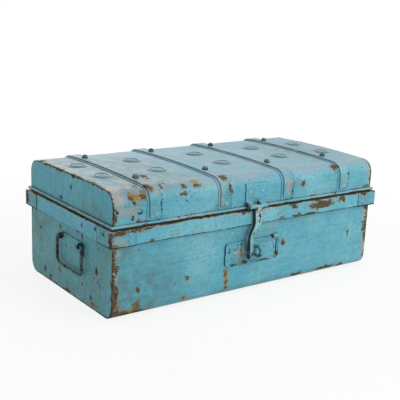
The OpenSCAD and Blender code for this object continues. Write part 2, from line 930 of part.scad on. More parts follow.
// Leaf on the collar's back, folded over its edge into the outer knuckles
module hinge_leaf_on_body(place) {
    outer_knuckle = (hinge_width - hinge_lid_knuckle) / 2 - knuckle_gap;
    color(SHADE_PAINT)
        difference() {
            on_wall(BACK)
                translate([place, 0, 0])
                    difference() {
                        union() {
                            translate([-hinge_width / 2, collar_reach, body_height - hinge_body_leaf])
                                cube([hinge_width, hinge_sheet, hinge_body_leaf]);
                            translate([-hinge_width / 2, hinge_relief_out, body_height])
                                cube([hinge_width, hinge_leaf_out - hinge_relief_out, hinge_sheet]);
                            for (end = [-1, 1])
                                translate([end * (hinge_width - outer_knuckle) / 2, 0, 0]) {
                                    hinge_knuckle(outer_knuckle);
                                    translate([-outer_knuckle / 2, hinge_axis_out, body_height])
                                        cube([outer_knuckle, hinge_leaf_out - hinge_axis_out, hinge_sheet]);
                                }
                        }
                        hinge_bore();
                    }
            hinge_body_rivet_places()
                shank_hole(2 * hinge_sheet);
        }
}

// Leaf on the lid's back wall with the middle knuckle
module hinge_leaf_on_lid(place) {
    leaf_foot = hinge_axis_z + hinge_axis_out;
    color(SHADE_PAINT)
        difference() {
            on_wall(BACK)
                translate([place, 0, 0])
                    difference() {
                        union() {
                            translate([-hinge_width / 2, 0, leaf_foot])
                                cube([hinge_width, hinge_sheet, body_height + hinge_lid_leaf - leaf_foot]);
                            translate([-hinge_lid_knuckle / 2, 0, hinge_axis_z])
                                cube([hinge_lid_knuckle, hinge_sheet, 2 * hinge_axis_out]);
                            hinge_knuckle(hinge_lid_knuckle);
                        }
                        hinge_bore();
                    }
            hinge_lid_rivet_places()
                shank_hole(2 * hinge_sheet);
        }
}

module hinge_pin(place) {
    color(IRON)
        on_wall(BACK)
            translate([place, hinge_axis_out, hinge_axis_z])
                rotate([0, 90, 0]) {
                    cylinder(r = hinge_pin_radius, h = hinge_width, center = true);
                    for (end = [-1, 1])
                        translate([0, 0, end * (hinge_width + hinge_head_thickness) / 2])
                            cylinder(
                                r = hinge_knuckle_radius,
                                h = hinge_head_thickness,
                                center = true
                            );
                }
}

module hinge_body_rivets() {
    color(SHADE_PAINT)
        hinge_body_rivet_places()
            rivet(hinge_sheet + collar_sheet);
}

module hinge_lid_rivets() {
    color(SHADE_PAINT)
        hinge_lid_rivet_places()
            rivet(hinge_sheet + sheet);
}

// Lid

// Cross-section of the lid, grown outward and reaching down to a height
module lid_outline(grow, foot) {
    beyond = (crown_radius + lid_edge_radius) / (crown_radius - lid_edge_radius);
    beyond_z = crown_centre + (shoulder_z - crown_centre) * beyond;
    translate([-half_depth - grow, foot])
        square([body_depth + 2 * grow, shoulder_z - foot]);
    for (side = [-1, 1])
        translate([side * shoulder_y, shoulder_z])
            circle(r = lid_edge_radius + grow);
    intersection() {
        translate([0, crown_centre])
            circle(r = crown_radius + grow, $fn = crown_facets);
        polygon([
            [-shoulder_y, shoulder_z],
            [shoulder_y, shoulder_z],
            [shoulder_y * beyond, beyond_z],
            [-shoulder_y * beyond, beyond_z],
        ]);
    }
}

// A band between two grown outlines, from a foot height on the front to the same at the back
module lid_band(width, inner, outer, foot) {
    along_x(width)
        difference() {
            lid_outline(outer, foot);
            lid_outline(inner, body_height);
        }
}

module lid_wrap() {
    color(TOP_PAINT)
        difference() {
            along_x(body_length)
                difference() {
                    lid_outline(0, body_height);
                    lid_outline(-sheet, body_height - sheet);
                }
            strap_rivet_places(strap_places)
                shank_hole(rib_height + 2 * sheet);
            stud_places(strap_places)
                shank_hole(rib_height + 2 * sheet);
            hasp_leaf_rivet_places()
                shank_hole(hasp_leaf_sheet + 2 * sheet);
            hinge_lid_rivet_places()
                shank_hole(hinge_sheet + 2 * sheet);
        }
}

module lid_end(side) {
    color(SHADE_PAINT) {
        translate([end_sign(side) * (half_length - sheet / 2), 0, 0])
            along_x(sheet)
                lid_outline(-sheet, body_height);
        translate([end_sign(side) * (half_length - sheet - flange_depth / 2), 0, 0])
            along_x(flange_depth)
                difference() {
                    lid_outline(-sheet, lid_flange_foot);
                    lid_outline(-2 * sheet, body_height);
                }
    }
}

// Round wired edge along one side of the lid's foot
module lid_bead(side) {
    notch = hinge_width + 2 * (hinge_head_thickness + bead_notch_gap);
    color(PAINT)
        difference() {
            mitred_strip(side)
                intersection() {
                    translate([bead_out, body_height + bead_lift])
                        circle(r = bead_radius);
                    translate([0, body_height])
                        square([2 * (bead_out + bead_radius), lid_height]);
                }
            if (side == BACK)
                on_wall(BACK)
                    for (place = hinge_places)
                        translate([place - notch / 2, -bead_radius, body_height])
                            cube([notch, 4 * bead_radius, 2 * (bead_lift + bead_radius)]);
        }
}

// A rib's band over the lid, set in from the rib's outline, with round corners at its ends
module rib_band(inset, inner, outer) {
    corner_place = rib_width / 2 - rib_corner_radius;
    lid_band(rib_width - 2 * inset, inner, outer, rib_corner_z);
    lid_band(2 * corner_place, inner, outer, rib_end_z + inset);
    for (side = [FRONT, BACK], end = [-1, 1])
        out_of_wall(side, end * corner_place, rib_corner_z, inner)
            cylinder(r = rib_corner_radius - inset, h = outer - inner);
}

// Pressed strap with a hollow rib, over the lid from front to back
module lid_strap(place) {
    color(TOP_PAINT)
        difference() {
            translate([place, 0, 0]) {
                lid_band(strap_width, 0, strap_sheet, strap_end_z);
                rib_band(0, 0, rib_height);
            }
            translate([place, 0, 0])
                rib_band(strap_sheet, -sheet, rib_height - strap_sheet);
            strap_rivet_places([place])
                shank_hole(2 * rib_height);
            stud_places([place])
                shank_hole(2 * rib_height);
        }
}

module strap_rivets() {
    color(PAINT)
        strap_rivet_places(strap_places)
            rivet(rib_height + sheet);
}

module lid_studs() {
    color(TOP_PAINT)
        stud_places(strap_places) {
            dome(stud_radius, stud_height);
            shank(rib_height + sheet);
        }
}

module rosette() {
    cylinder(r = rosette_radius, h = rosette_sheet);
    intersection() {
        translate([0, 0, rosette_sheet])
            rotate_extrude()
                translate([rosette_ring_radius, 0])
                    circle(r = rosette_ring_wire);
        cylinder(r = rosette_radius, h = rosette_sheet + 2 * rosette_ring_wire);
    }
    translate([0, 0, rosette_sheet])
        dome(rosette_boss_radius, rosette_boss_height);
}

module lid_rosettes() {
    color(TOP_PAINT)
        for (place = rosette_places, row = [-1, 1])
            on_top(place, row * rosette_row, 0)
                rosette();
}

// Hasp

module hasp_bore() {
    translate([hasp_x, hasp_axis_out, hasp_axis_z])
        rotate([0, 90, 0])
            cylinder(r = hasp_pin_radius + pin_clearance, h = 4 * hasp_pin_half, center = true);
}

// Leaf that follows the lid's front, with a knuckle on each side of the hasp's eye
module hasp_leaf() {
    tab_top = hasp_leaf_foot + hasp_knuckle_radius;
    color(PAINT)
        difference() {
            union() {
                intersection() {
                    translate([hasp_shift, 0, 0])
                        lid_band(hasp_leaf_width, 0, hasp_leaf_sheet, hasp_leaf_foot);
                    on_wall(FRONT)
                        translate([
                            hasp_shift - hasp_leaf_width,
                            -lid_edge_radius,
                            body_height,
                        ])
                            cube([
                                2 * hasp_leaf_width,
                                2 * lid_edge_radius,
                                hasp_leaf_lift + hasp_leaf_height,
                            ]);
                }
                on_wall(FRONT)
                    for (end = [-1, 1])
                        translate([
                            hasp_x + end * (hasp_knuckle_start + hasp_knuckle_width / 2),
                            0,
                            0,
                        ])
                            along_x(hasp_knuckle_width) {
                                translate([hasp_axis_out, hasp_axis_z])
                                    circle(r = hasp_knuckle_radius);
                                polygon([
                                    [0, hasp_leaf_foot],
                                    [0, tab_top],
                                    [hasp_leaf_sheet, tab_top],
                                    [hasp_axis_out, hasp_axis_z + hasp_knuckle_radius],
                                    [hasp_axis_out, hasp_axis_z],
                                ]);
                            }
            }
            on_wall(FRONT)
                hasp_bore();
            hasp_leaf_rivet_places()
                shank_hole(2 * hasp_leaf_sheet);
        }
}

module hasp_leaf_rivets() {
    color(PAINT)
        hasp_leaf_rivet_places()
            rivet(hasp_leaf_sheet + sheet);
}

module hasp_pin() {
    color(IRON)
        on_wall(FRONT)
            translate([hasp_x, hasp_axis_out, hasp_axis_z])
                rotate([0, 90, 0]) {
                    cylinder(r = hasp_pin_radius, h = 2 * hasp_pin_half, center = true);
                    for (end = [-1, 1])
                        translate([0, 0, end * (hasp_pin_half + hinge_head_thickness / 2)])
                            cylinder(
                                r = hasp_knuckle_radius,
                                h = hinge_head_thickness,
                                center = true
                            );
                }
}

// Strap that hangs over the collar and bends aside to a blade beside the staple
module hasp() {
    blade_foot = staple_z - blade_tip + blade_depth / 2;
    color(PAINT)
        difference() {
            on_wall(FRONT) {
                translate([hasp_x, hasp_axis_out, hasp_axis_z])
                    rotate([0, 90, 0])
                        cylinder(r = hasp_knuckle_radius, h = hasp_eye_width, center = true);
                translate([0, hasp_front_out, 0])
                    rotate([90, 0, 0])
                        linear_extrude(height = hasp_strap_thickness)
                            polygon(concat(strap_edge(-1), reversed(strap_edge(1))));
                translate([blade_x, 0, 0])
                    along_x(blade_thickness) {
                        polygon([
                            [hasp_back_out, blade_top_z],
                            [hasp_front_out, blade_top_z],
                            [blade_front_out, blade_return_z],
                            [blade_front_out, blade_foot],
                            [blade_back_out, blade_foot],
                            [blade_back_out, blade_return_z],
                        ]);
                        translate([blade_hole_out, blade_foot])
                            circle(r = blade_depth / 2);
                    }
            }
            on_wall(FRONT)
                hasp_bore();
            on_wall(FRONT)
                translate([blade_x, blade_hole_out, staple_z])
                    rotate([0, 90, 0])
                        cylinder(r = blade_hole_radius, h = 2 * blade_thickness, center = true);
        }
}

body_wrap();
body_end(LEFT);  // body_end_left
body_end(RIGHT);  // body_end_right
collar_side(FRONT);  // collar_front
collar_side(RIGHT);  // collar_right
collar_side(BACK);  // collar_back
collar_side(LEFT);  // collar_left
corner_plate(-1, -1);  // collar_corner_front_left
corner_plate(1, -1);  // collar_corner_front_right
corner_plate(-1, 1);  // collar_corner_back_left
corner_plate(1, 1);  // collar_corner_back_right
collar_corner_rivets();
lip_side(FRONT);  // lip_front
lip_side(RIGHT);  // lip_right
lip_side(BACK);  // lip_back
lip_side(LEFT);  // lip_left
lock_plate();
lock_backing();
lock_rivets();
padlock_staple();
handle_plate(LEFT);  // handle_left_plate
handle_eyes(LEFT);  // handle_left_eyes
handle_rivets(LEFT);  // handle_left_rivets
handle_bail(LEFT);  // handle_left_bail
handle_plate(RIGHT);  // handle_right_plate
handle_eyes(RIGHT);  // handle_right_eyes
handle_rivets(RIGHT);  // handle_right_rivets
handle_bail(RIGHT);  // handle_right_bail
hinge_leaf_on_body(hinge_places[1]);  // hinge_left_body_leaf
hinge_leaf_on_lid(hinge_places[1]);  // hinge_left_lid_leaf
hinge_pin(hinge_places[1]);  // hinge_left_pin
hinge_leaf_on_body(hinge_places[0]);  // hinge_right_body_leaf
hinge_leaf_on_lid(hinge_places[0]);  // hinge_right_lid_leaf
hinge_pin(hinge_places[0]);  // hinge_right_pin
hinge_body_rivets();
hinge_lid_rivets();
lid_wrap();
lid_end(LEFT);  // lid_end_left
lid_end(RIGHT);  // lid_end_right
lid_bead(FRONT);  // lid_bead_front
lid_bead(RIGHT);  // lid_bead_right
lid_bead(BACK);  // lid_bead_back
lid_bead(LEFT);  // lid_bead_left
lid_strap(strap_places[0]);  // lid_strap_1
lid_strap(strap_places[1]);  // lid_strap_2
lid_strap(strap_places[2]);  // lid_strap_3
lid_strap(strap_places[3]);  // lid_strap_4
strap_rivets();
lid_studs();
lid_rosettes();
hasp_leaf();
hasp_leaf_rivets();
hasp_pin();
hasp();
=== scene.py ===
"""Dresses the footlocker for its picture: old brushed paint, chips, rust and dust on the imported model."""

import logging
import math
from dataclasses import dataclass, field
from enum import Enum
from typing import Dict, Iterable, List, Optional, Sequence, Tuple, Union

import bmesh
import bpy
from mathutils import Matrix, Vector


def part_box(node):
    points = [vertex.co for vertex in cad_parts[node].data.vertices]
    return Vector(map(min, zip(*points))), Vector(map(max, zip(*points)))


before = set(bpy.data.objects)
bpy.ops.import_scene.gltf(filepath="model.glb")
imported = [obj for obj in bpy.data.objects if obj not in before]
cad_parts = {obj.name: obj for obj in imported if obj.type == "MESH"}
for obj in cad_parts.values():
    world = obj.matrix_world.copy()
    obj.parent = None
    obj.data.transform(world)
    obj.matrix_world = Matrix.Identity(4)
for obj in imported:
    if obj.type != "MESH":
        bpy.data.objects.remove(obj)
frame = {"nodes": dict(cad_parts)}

LOG = logging.getLogger("footlocker")
WHITE = (1.0, 1.0, 1.0, 1.0)
MM_PER_METRE = 1000.0

Triple = Tuple[float, float, float]
Socket = bpy.types.NodeSocket
Sockets = bpy.types.bpy_prop_collection
SOCKET_KINDS = {
    **dict.fromkeys(("Place", "Normal", "Centre", "Reach", "Brush", "Seed", "Middle"), "NodeSocketVector"),
    **dict.fromkeys(("Colour", "Dirt", "Dust", "Paint", "Faded", "Deep"), "NodeSocketColor"),
}


@dataclass(frozen=True)
class Tone:
    """A colour as the eye reads it, in 0 to 255 steps of red, green and blue."""

    red: int
    green: int
    blue: int

    @property
    def rgba(self) -> Tuple[float, float, float, float]:
        """Gives the colour in Blender's linear light.

        Returns:
            Red, green, blue and an alpha of one.
        """
        steps = []
        for step in (self.red, self.green, self.blue):
            share = step / 255.0
            linear = share / 12.92 if share <= 0.04045 else ((share + 0.055) / 1.055) ** 2.4
            steps.append(linear)
        return (steps[0], steps[1], steps[2], 1.0)


Feed = Union[Socket, Tone, float, Sequence[float]]


class Wear(Enum):
    """What shows where the paint is gone, under the name of its field."""

    RUST = "Rust"
    OCHRE = "Ochre"
    PRIMER = "Primer"
    STAIN = "Stain"
    # Near-black grime, also laid as painted shade along shaded edges, under the collar and in the lock's
    # slot
    GRIME = "Grime"


class Brush(Enum):
    """Direction of the brush strokes, as the noise scale along X, Y and Z per metre."""

    ALONG = (8.0, 80.0, 240.0)
    DOWN = (150.0, 150.0, 7.0)
    ACROSS = (90.0, 20.0, 60.0)


class Grain(Enum):
    """Noise patterns, as waves per metre, the number of finer layers and their strength."""

    RAGGED_RIM = (85.0, 6.0, 0.72)
    EDGE_BROAD = (19.0, 3.0, 0.6)
    EDGE_CHIPS = (75.0, 6.0, 0.7)
    CHIP_CLUSTER = (14.0, 3.0, 0.5)
    STRAY_CHIPS = (95.0, 4.0, 0.6)
    FADING = (9.0, 5.0, 0.6)
    PAINT_DRIFT = (26.0, 4.0, 0.65)
    STROKES = (1.0, 4.0, 0.7)
    MOTTLE = (130.0, 5.0, 0.7)
    PATINA = (31.0, 6.0, 0.7)
    PIN_DOTS = (175.0, 2.0, 0.5)
    RUST_BROAD = (70.0, 5.0, 0.65)
    RUST_FINE = (320.0, 4.0, 0.7)
    RUST_FLECKS = (210.0, 3.0, 0.6)
    RUST_DRIFT = (15.0, 2.0, 0.5)
    CHIP_RIM = (190.0, 6.0, 0.75)
    STAIN = (40.0, 5.0, 0.65)
    DRY_PRIMER = (60.0, 4.0, 0.6)
    CORNER_DIRT = (60.0, 5.0, 0.65)
    DUST_PATCHES = (17.0, 5.0, 0.65)
    INNER_CLOUDS = (22.0, 5.0, 0.65)
    DENTS = (8.0, 2.0, 0.5)
    IRON_BROAD = (60.0, 5.0, 0.6)
    IRON_FINE = (420.0, 4.0, 0.7)
    PAINT_SCRAPS = (85.0, 5.0, 0.65)


@dataclass(frozen=True)
class Mark:
    """One worn place: a blot about a point, in metres of the model's frame."""

    wear: Wear
    centre: Triple
    reach: Triple
    weight: float = 1.0


def blots(wear: Wear, *rows: Tuple[float, ...]) -> Tuple[Mark, ...]:
    """Makes the worn places of one kind from rows in millimetres.

    Args:
        wear: What shows in them.
        *rows: Each place's X, Y and Z, its reach along X, Y and Z, and its weight unless that is one.

    Returns:
        The places.
    """
    made = []
    for row in rows:
        x, y, z, along, across, up = (step / MM_PER_METRE for step in row[:6])
        made.append(Mark(wear, (x, y, z), (along, across, up), *row[6:]))
    return tuple(made)


class Sketch:
    """Adds and joins shader nodes in one node tree."""

    def __init__(self, tree: bpy.types.NodeTree) -> None:
        """Keeps the tree to draw in.

        Args:
            tree: The node tree of a material, a world or a group.
        """
        self.tree = tree

    def add(self, kind: str, **settings: object) -> bpy.types.Node:
        """Adds one node.

        Args:
            kind: Blender's name of the node type.
            **settings: Properties of the node to set.

        Returns:
            The new node.
        """
        node = self.tree.nodes.new(kind)
        for name, value in settings.items():
            setattr(node, name, value)
        return node

    def feed(self, target: Socket, value: Feed) -> None:
        """Joins a socket to an input, or sets the input to a plain value.

        Args:
            target: The input to feed.
            value: An output socket, a colour, a number, or numbers.
        """
        if isinstance(value, bpy.types.NodeSocket):
            self.tree.links.new(value, target)
        else:
            target.default_value = value.rgba if isinstance(value, Tone) else value

    def socket(self, label: str, side: str) -> None:
        """Gives a group an INPUT or OUTPUT of the kind that its name stands for."""
        kind = SOCKET_KINDS.get(label, "NodeSocketFloat")
        self.tree.interface.new_socket(name=label, in_out=side, socket_type=kind)

    def maths(self, operation: str, *values: Feed, clamp: bool = False) -> Socket:
        """Adds a Math node.

        Args:
            operation: The sum to do, such as ADD.
            *values: Its inputs in order.
            clamp: Keeps the answer between zero and one.

        Returns:
            The answer.
        """
        node = self.add("ShaderNodeMath", operation=operation, use_clamp=clamp)
        for target, value in zip(node.inputs, values):
            self.feed(target, value)
        return node.outputs[0]

    def times(self, first: Feed, second: Feed) -> Socket:
        """Multiplies two numbers."""
        return self.maths("MULTIPLY", first, second)

    def plus(self, first: Feed, second: Feed) -> Socket:
        """Adds two numbers."""
        return self.maths("ADD", first, second)

    def minus(self, first: Feed, second: Feed) -> Socket:
        """Takes the second number from the first."""
        return self.maths("SUBTRACT", first, second)

    def vector(self, operation: str, *values: Feed) -> Socket:
        """Adds a Vector Math node.

        Args:
            operation: The sum to do, such as SUBTRACT or LENGTH.
            *values: Its inputs in order.

        Returns:
            The answer, a number for LENGTH and DOT_PRODUCT and otherwise a vector.
        """
        node = self.add("ShaderNodeVectorMath", operation=operation)
        for target, value in zip(node.inputs, values):
            self.feed(target, value)
        single = operation in ("LENGTH", "DOT_PRODUCT")
        return node.outputs["Value" if single else "Vector"]

    def noise(self, place: Socket, grain: Grain, output: str = "Fac") -> Socket:
        """Adds a noise texture.

        Args:
            place: Where the noise is read.
            grain: Its pattern.
            output: Fac for a number or Color for a colour.

        Returns:
            The noise.
        """
        node = self.add("ShaderNodeTexNoise", noise_dimensions="3D")
        self.feed(node.inputs["Vector"], place)
        for name, value in zip(("Scale", "Detail", "Roughness"), grain.value):
            node.inputs[name].default_value = value
        return node.outputs[output]

    def fade(self, value: Feed, low: Feed, high: Feed) -> Socket:
        """Turns a number into a soft mask.

        Args:
            value: The number to read.
            low: Where the mask is zero.
            high: Where the mask is one.

        Returns:
            The mask.
        """
        node = self.add("ShaderNodeMapRange", interpolation_type="SMOOTHSTEP")
        self.feed(node.inputs["Value"], value)
        self.feed(node.inputs["From Min"], low)
        self.feed(node.inputs["From Max"], high)
        return node.outputs["Result"]

    def mix(self, amount: Feed, first: Feed, second: Feed) -> Socket:
        """Mixes two colours.

        Args:
            amount: Share of the second colour.
            first: The colour underneath.
            second: The colour on top.

        Returns:
            The mixed colour.
        """
        node = self.add("ShaderNodeMix", data_type="RGBA", clamp_factor=True)
        self.feed(node.inputs[0], amount)
        self.feed(node.inputs[6], first)
        self.feed(node.inputs[7], second)
        return node.outputs[2]

    def parts(self, place: Socket) -> Tuple[Socket, Socket, Socket]:
        """Splits a vector.

        Args:
            place: The vector.

        Returns:
            Its X, Y and Z.
        """
        node = self.add("ShaderNodeSeparateXYZ")
        self.feed(node.inputs[0], place)
        return node.outputs[0], node.outputs[1], node.outputs[2]

    def use(self, group: bpy.types.NodeTree, **values: Feed) -> Sockets:
        """Adds a shared node group.

        Args:
            group: The group's node tree.
            **values: What to feed to its inputs, with spaces in their names as underscores.

        Returns:
            The group's outputs.
        """
        node = self.add("ShaderNodeGroup", node_tree=group)
        for name, value in values.items():
            self.feed(node.inputs[name.replace("_", " ")], value)
        return node.outputs

    def close(self, **values: Feed) -> bpy.types.NodeTree:
        """Gives the group that is being drawn its outputs.

        Args:
            **values: What to feed to each of them.

        Returns:
            The group's tree.
        """
        for name in values:
            self.socket(name, "OUTPUT")
        end = self.add("NodeGroupOutput")
        for name, value in values.items():
            self.feed(end.inputs[name], value)
        return self.tree

    def bump(self, height: Socket, strength: float, depth: float) -> bpy.types.Node:
        """Adds a Bump node.

        Args:
            height: The relief.
            strength: How much of it shows.
            depth: Its depth in metres.

        Returns:
            The node.
        """
        node = self.add("ShaderNodeBump")
        for name, value in (("Height", height), ("Strength", strength), ("Distance", depth)):
            self.feed(node.inputs[name], value)
        return node


def open_group(name: str, *inputs: str) -> Tuple[Sketch, Sockets]:
    """Opens a new node group.

    Args:
        name: Its name.
        *inputs: The names of its inputs.

    Returns:
        A sketch of its tree, and the sockets that give its inputs.
    """
    sketch = Sketch(bpy.data.node_groups.new(name, "ShaderNodeTree"))
    for label in inputs:
        sketch.socket(label, "INPUT")
    return sketch, sketch.add("NodeGroupInput").outputs


def open_material(name: str) -> Tuple[bpy.types.Material, Sketch, bpy.types.Node]:
    """Opens a new material.

    Args:
        name: Its name.

    Returns:
        The material, a sketch of its tree, and its Principled BSDF.
    """
    made = bpy.data.materials.new(name)
    made.use_nodes = True
    return made, Sketch(made.node_tree), made.node_tree.nodes["Principled BSDF"]


class SharedEffects:
    """The node groups that several finishes share, each made once."""

    # Tones of the paint's drift, film and dots, of rust, and of what lies below and above the paint, the
    # darkest being grime that also serves as painted shade
    GREENER, COOLER = Tone(88, 164, 158), Tone(116, 168, 200)
    FILM, PIN_DOT = Tone(108, 130, 122), Tone(46, 70, 70)
    RUST_DARK, RUST_BROWN, RUST_OLIVE = Tone(40, 33, 26), Tone(82, 65, 48), Tone(76, 72, 50)
    RUST_LIGHT, RUST_FLECK = Tone(120, 98, 70), Tone(160, 148, 130)
    PRIMER_DULL, PRIMER_PALE = Tone(130, 130, 120), Tone(182, 174, 158)
    OCHRE_DULL, OCHRE_BRIGHT = Tone(88, 82, 54), Tone(164, 136, 82)
    SOOT, GRIME = Tone(80, 92, 80), Tone(30, 34, 33)
    # Where the noise is read, how steeply worn places begin, and how far the dirt and painted shade reach
    # out of corners
    PAINT_SHIFT, RUST_SHIFT = (2.0, 5.0, 3.0), (4.0, 1.0, 6.0)
    WIPING = (9.0, 120.0, 60.0)
    EDGE_SLOPE, EDGE_STEEPNESS = 0.3, 7.0
    STRAY_LEVEL, STRAY_GAIN, STRAY_STEEPNESS = 1.36, 0.3, 5.0
    RIM_SHAKE = 2.8
    PAINT_ROUGHNESS = 0.36
    SHELTER_REACH, SHELTER_RAYS = 0.006, 12

    def __init__(self) -> None:
        """Makes every group."""
        self.ragged = self._ragged()
        self.blot = self._blot()
        self.edge = self._edge()
        self.scatter = self._scatter()
        self.outline = self._outline()
        self.paint = self._paint()
        self.rust = self._rust()
        self.layers = self._layers()
        self.corner_dirt_and_shade = self._corner_dirt_and_shade()
        self.dust = self._dust()
        self.inside = self._inside()

    def _ragged(self) -> bpy.types.NodeTree:
        """Makes the group that shakes a place, so that blots have ragged rims.

        Returns:
            The group.
        """
        sketch, given = open_group("Ragged place", "Place", "Reach")
        coarse = sketch.noise(given["Place"], Grain.RAGGED_RIM, "Color")
        shift = sketch.vector("SUBTRACT", coarse, (0.5, 0.5, 0.5))
        shift = sketch.vector("MULTIPLY", shift, given["Reach"])
        return sketch.close(Place=sketch.vector("ADD", given["Place"], shift))

    def _blot(self) -> bpy.types.NodeTree:
        """Makes the group that adds one worn blot to a field that is above zero inside worn places.

        Returns:
            The group.
        """
        sketch, given = open_group("Worn blot", "Field", "Place", "Centre", "Reach", "Weight")
        away = sketch.vector("SUBTRACT", given["Place"], given["Centre"])
        share = sketch.vector("LENGTH", sketch.vector("DIVIDE", away, given["Reach"]))
        depth = sketch.minus(given["Weight"], share)
        return sketch.close(Field=sketch.maths("MAXIMUM", given["Field"], depth))

    def _edge(self) -> bpy.types.NodeTree:
        """Makes the group that adds chips along an edge to a worn field.

        Returns:
            The group.
        """
        sketch, given = open_group("Worn edge", "Field", "Place", "Distance", "Width", "Keep", "Seed")
        place = sketch.vector("ADD", given["Place"], given["Seed"])
        broad = sketch.noise(place, Grain.EDGE_BROAD)
        chips = sketch.noise(place, Grain.EDGE_CHIPS)
        both = sketch.plus(sketch.times(broad, 0.55), sketch.times(chips, 0.45))
        share = sketch.maths("DIVIDE", given["Distance"], given["Width"])
        level = sketch.plus(given["Keep"], sketch.times(share, self.EDGE_SLOPE))
        depth = sketch.times(sketch.minus(both, level), self.EDGE_STEEPNESS)
        return sketch.close(Field=sketch.maths("MAXIMUM", given["Field"], depth))

    def _scatter(self) -> bpy.types.NodeTree:
        """Makes the group that adds small stray chips to a worn field.

        Returns:
            The group.
        """
        sketch, given = open_group("Stray chips", "Field", "Place", "Amount")
        cluster = sketch.noise(given["Place"], Grain.CHIP_CLUSTER)
        grain = sketch.noise(given["Place"], Grain.STRAY_CHIPS)
        both = sketch.plus(sketch.times(cluster, 0.8), grain)
        level = sketch.minus(self.STRAY_LEVEL, sketch.times(given["Amount"], self.STRAY_GAIN))
        depth = sketch.times(sketch.minus(both, level), self.STRAY_STEEPNESS)
        return sketch.close(Field=sketch.maths("MAXIMUM", given["Field"], depth))

    def _outline(self) -> bpy.types.NodeTree:
        """Makes the group that measures how far inside a round-cornered outline a point lies.

        Returns:
            The group.
        """
        sketch, given = open_group(
            "Outline distance", "Across", "Up", "Half width", "Half height", "Corner"
        )
        corner = given["Corner"]
        sides = []
        for place, half in (("Across", "Half width"), ("Up", "Half height")):
            inner = sketch.minus(given[half], corner)
            sides.append(sketch.minus(sketch.maths("ABSOLUTE", given[place]), inner))
        beyond = [sketch.maths("MAXIMUM", side, 0.0) for side in sides]
        squares = [sketch.times(side, side) for side in beyond]
        outer = sketch.maths("SQRT", sketch.plus(squares[0], squares[1]))
        inner = sketch.maths("MINIMUM", sketch.maths("MAXIMUM", sides[0], sides[1]), 0.0)
        return sketch.close(Distance=sketch.minus(corner, sketch.plus(outer, inner)))

    def _paint(self) -> bpy.types.NodeTree:
        """Makes the group of the brushed paint itself.

        Returns:
            The group.
        """
        sketch, given = open_group(
            "Brushed paint", "Place", "Brush", "Paint", "Faded", "Deep", "Strokes", "Patina",
            "Drift"
        )
        place = given["Place"]
        broad = sketch.noise(place, Grain.FADING)
        fading = sketch.fade(broad, 0.42, 0.72)
        tone = sketch.mix(fading, given["Paint"], given["Faded"])
        drift = sketch.noise(sketch.vector("ADD", place, self.PAINT_SHIFT), Grain.PAINT_DRIFT)
        greener = sketch.times(sketch.fade(drift, 0.52, 0.7), 0.42)
        greener = sketch.times(greener, given["Drift"])
        tone = sketch.mix(greener, tone, self.GREENER)
        cooler = sketch.times(sketch.fade(drift, 0.48, 0.3), 0.3)
        cooler = sketch.times(cooler, given["Drift"])
        tone = sketch.mix(cooler, tone, self.COOLER)
        stroke = sketch.noise(sketch.vector("MULTIPLY", place, given["Brush"]), Grain.STROKES)
        dark = sketch.times(sketch.fade(stroke, 0.5, 0.3), given["Strokes"])
        pale = sketch.times(sketch.fade(stroke, 0.5, 0.74), given["Strokes"])
        tone = sketch.mix(dark, tone, given["Deep"])
        tone = sketch.mix(pale, tone, given["Faded"])
        mottle = sketch.noise(place, Grain.MOTTLE)
        speck = sketch.times(sketch.fade(mottle, 0.52, 0.3), 0.42)
        tone = sketch.mix(speck, tone, given["Deep"])
        patina = given["Patina"]
        cloud = sketch.noise(place, Grain.PATINA)
        film = sketch.times(sketch.fade(cloud, 0.48, 0.72), patina)
        tone = sketch.mix(film, tone, self.FILM)
        pin = sketch.noise(place, Grain.PIN_DOTS)
        dots = sketch.times(sketch.fade(pin, 0.62, 0.7), patina)
        tone = sketch.mix(dots, tone, self.PIN_DOT)
        height = sketch.plus(sketch.times(stroke, 0.5), sketch.times(mottle, 0.4))
        return sketch.close(Colour=tone, Height=height)

    def _rust(self) -> bpy.types.NodeTree:
        """Makes the group of rust colours.

        Returns:
            The group.
        """
        sketch, given = open_group("Rust", "Place")
        place = given["Place"]
        broad = sketch.noise(place, Grain.RUST_BROAD)
        fine = sketch.noise(place, Grain.RUST_FINE)
        fleck = sketch.noise(place, Grain.RUST_FLECKS)
        tone = sketch.mix(sketch.fade(broad, 0.35, 0.62), self.RUST_DARK, self.RUST_BROWN)
        drift = sketch.noise(sketch.vector("ADD", place, self.RUST_SHIFT), Grain.RUST_DRIFT)
        olive = sketch.times(sketch.fade(drift, 0.40, 0.55), 0.75)
        tone = sketch.mix(olive, tone, self.RUST_OLIVE)
        tone = sketch.mix(sketch.fade(fine, 0.54, 0.74), tone, self.RUST_LIGHT)
        pale = sketch.times(sketch.fade(fleck, 0.6, 0.7), 0.55)
        tone = sketch.mix(pale, tone, self.RUST_FLECK)
        return sketch.close(Colour=tone, Height=sketch.plus(broad, sketch.times(fine, 0.6)))

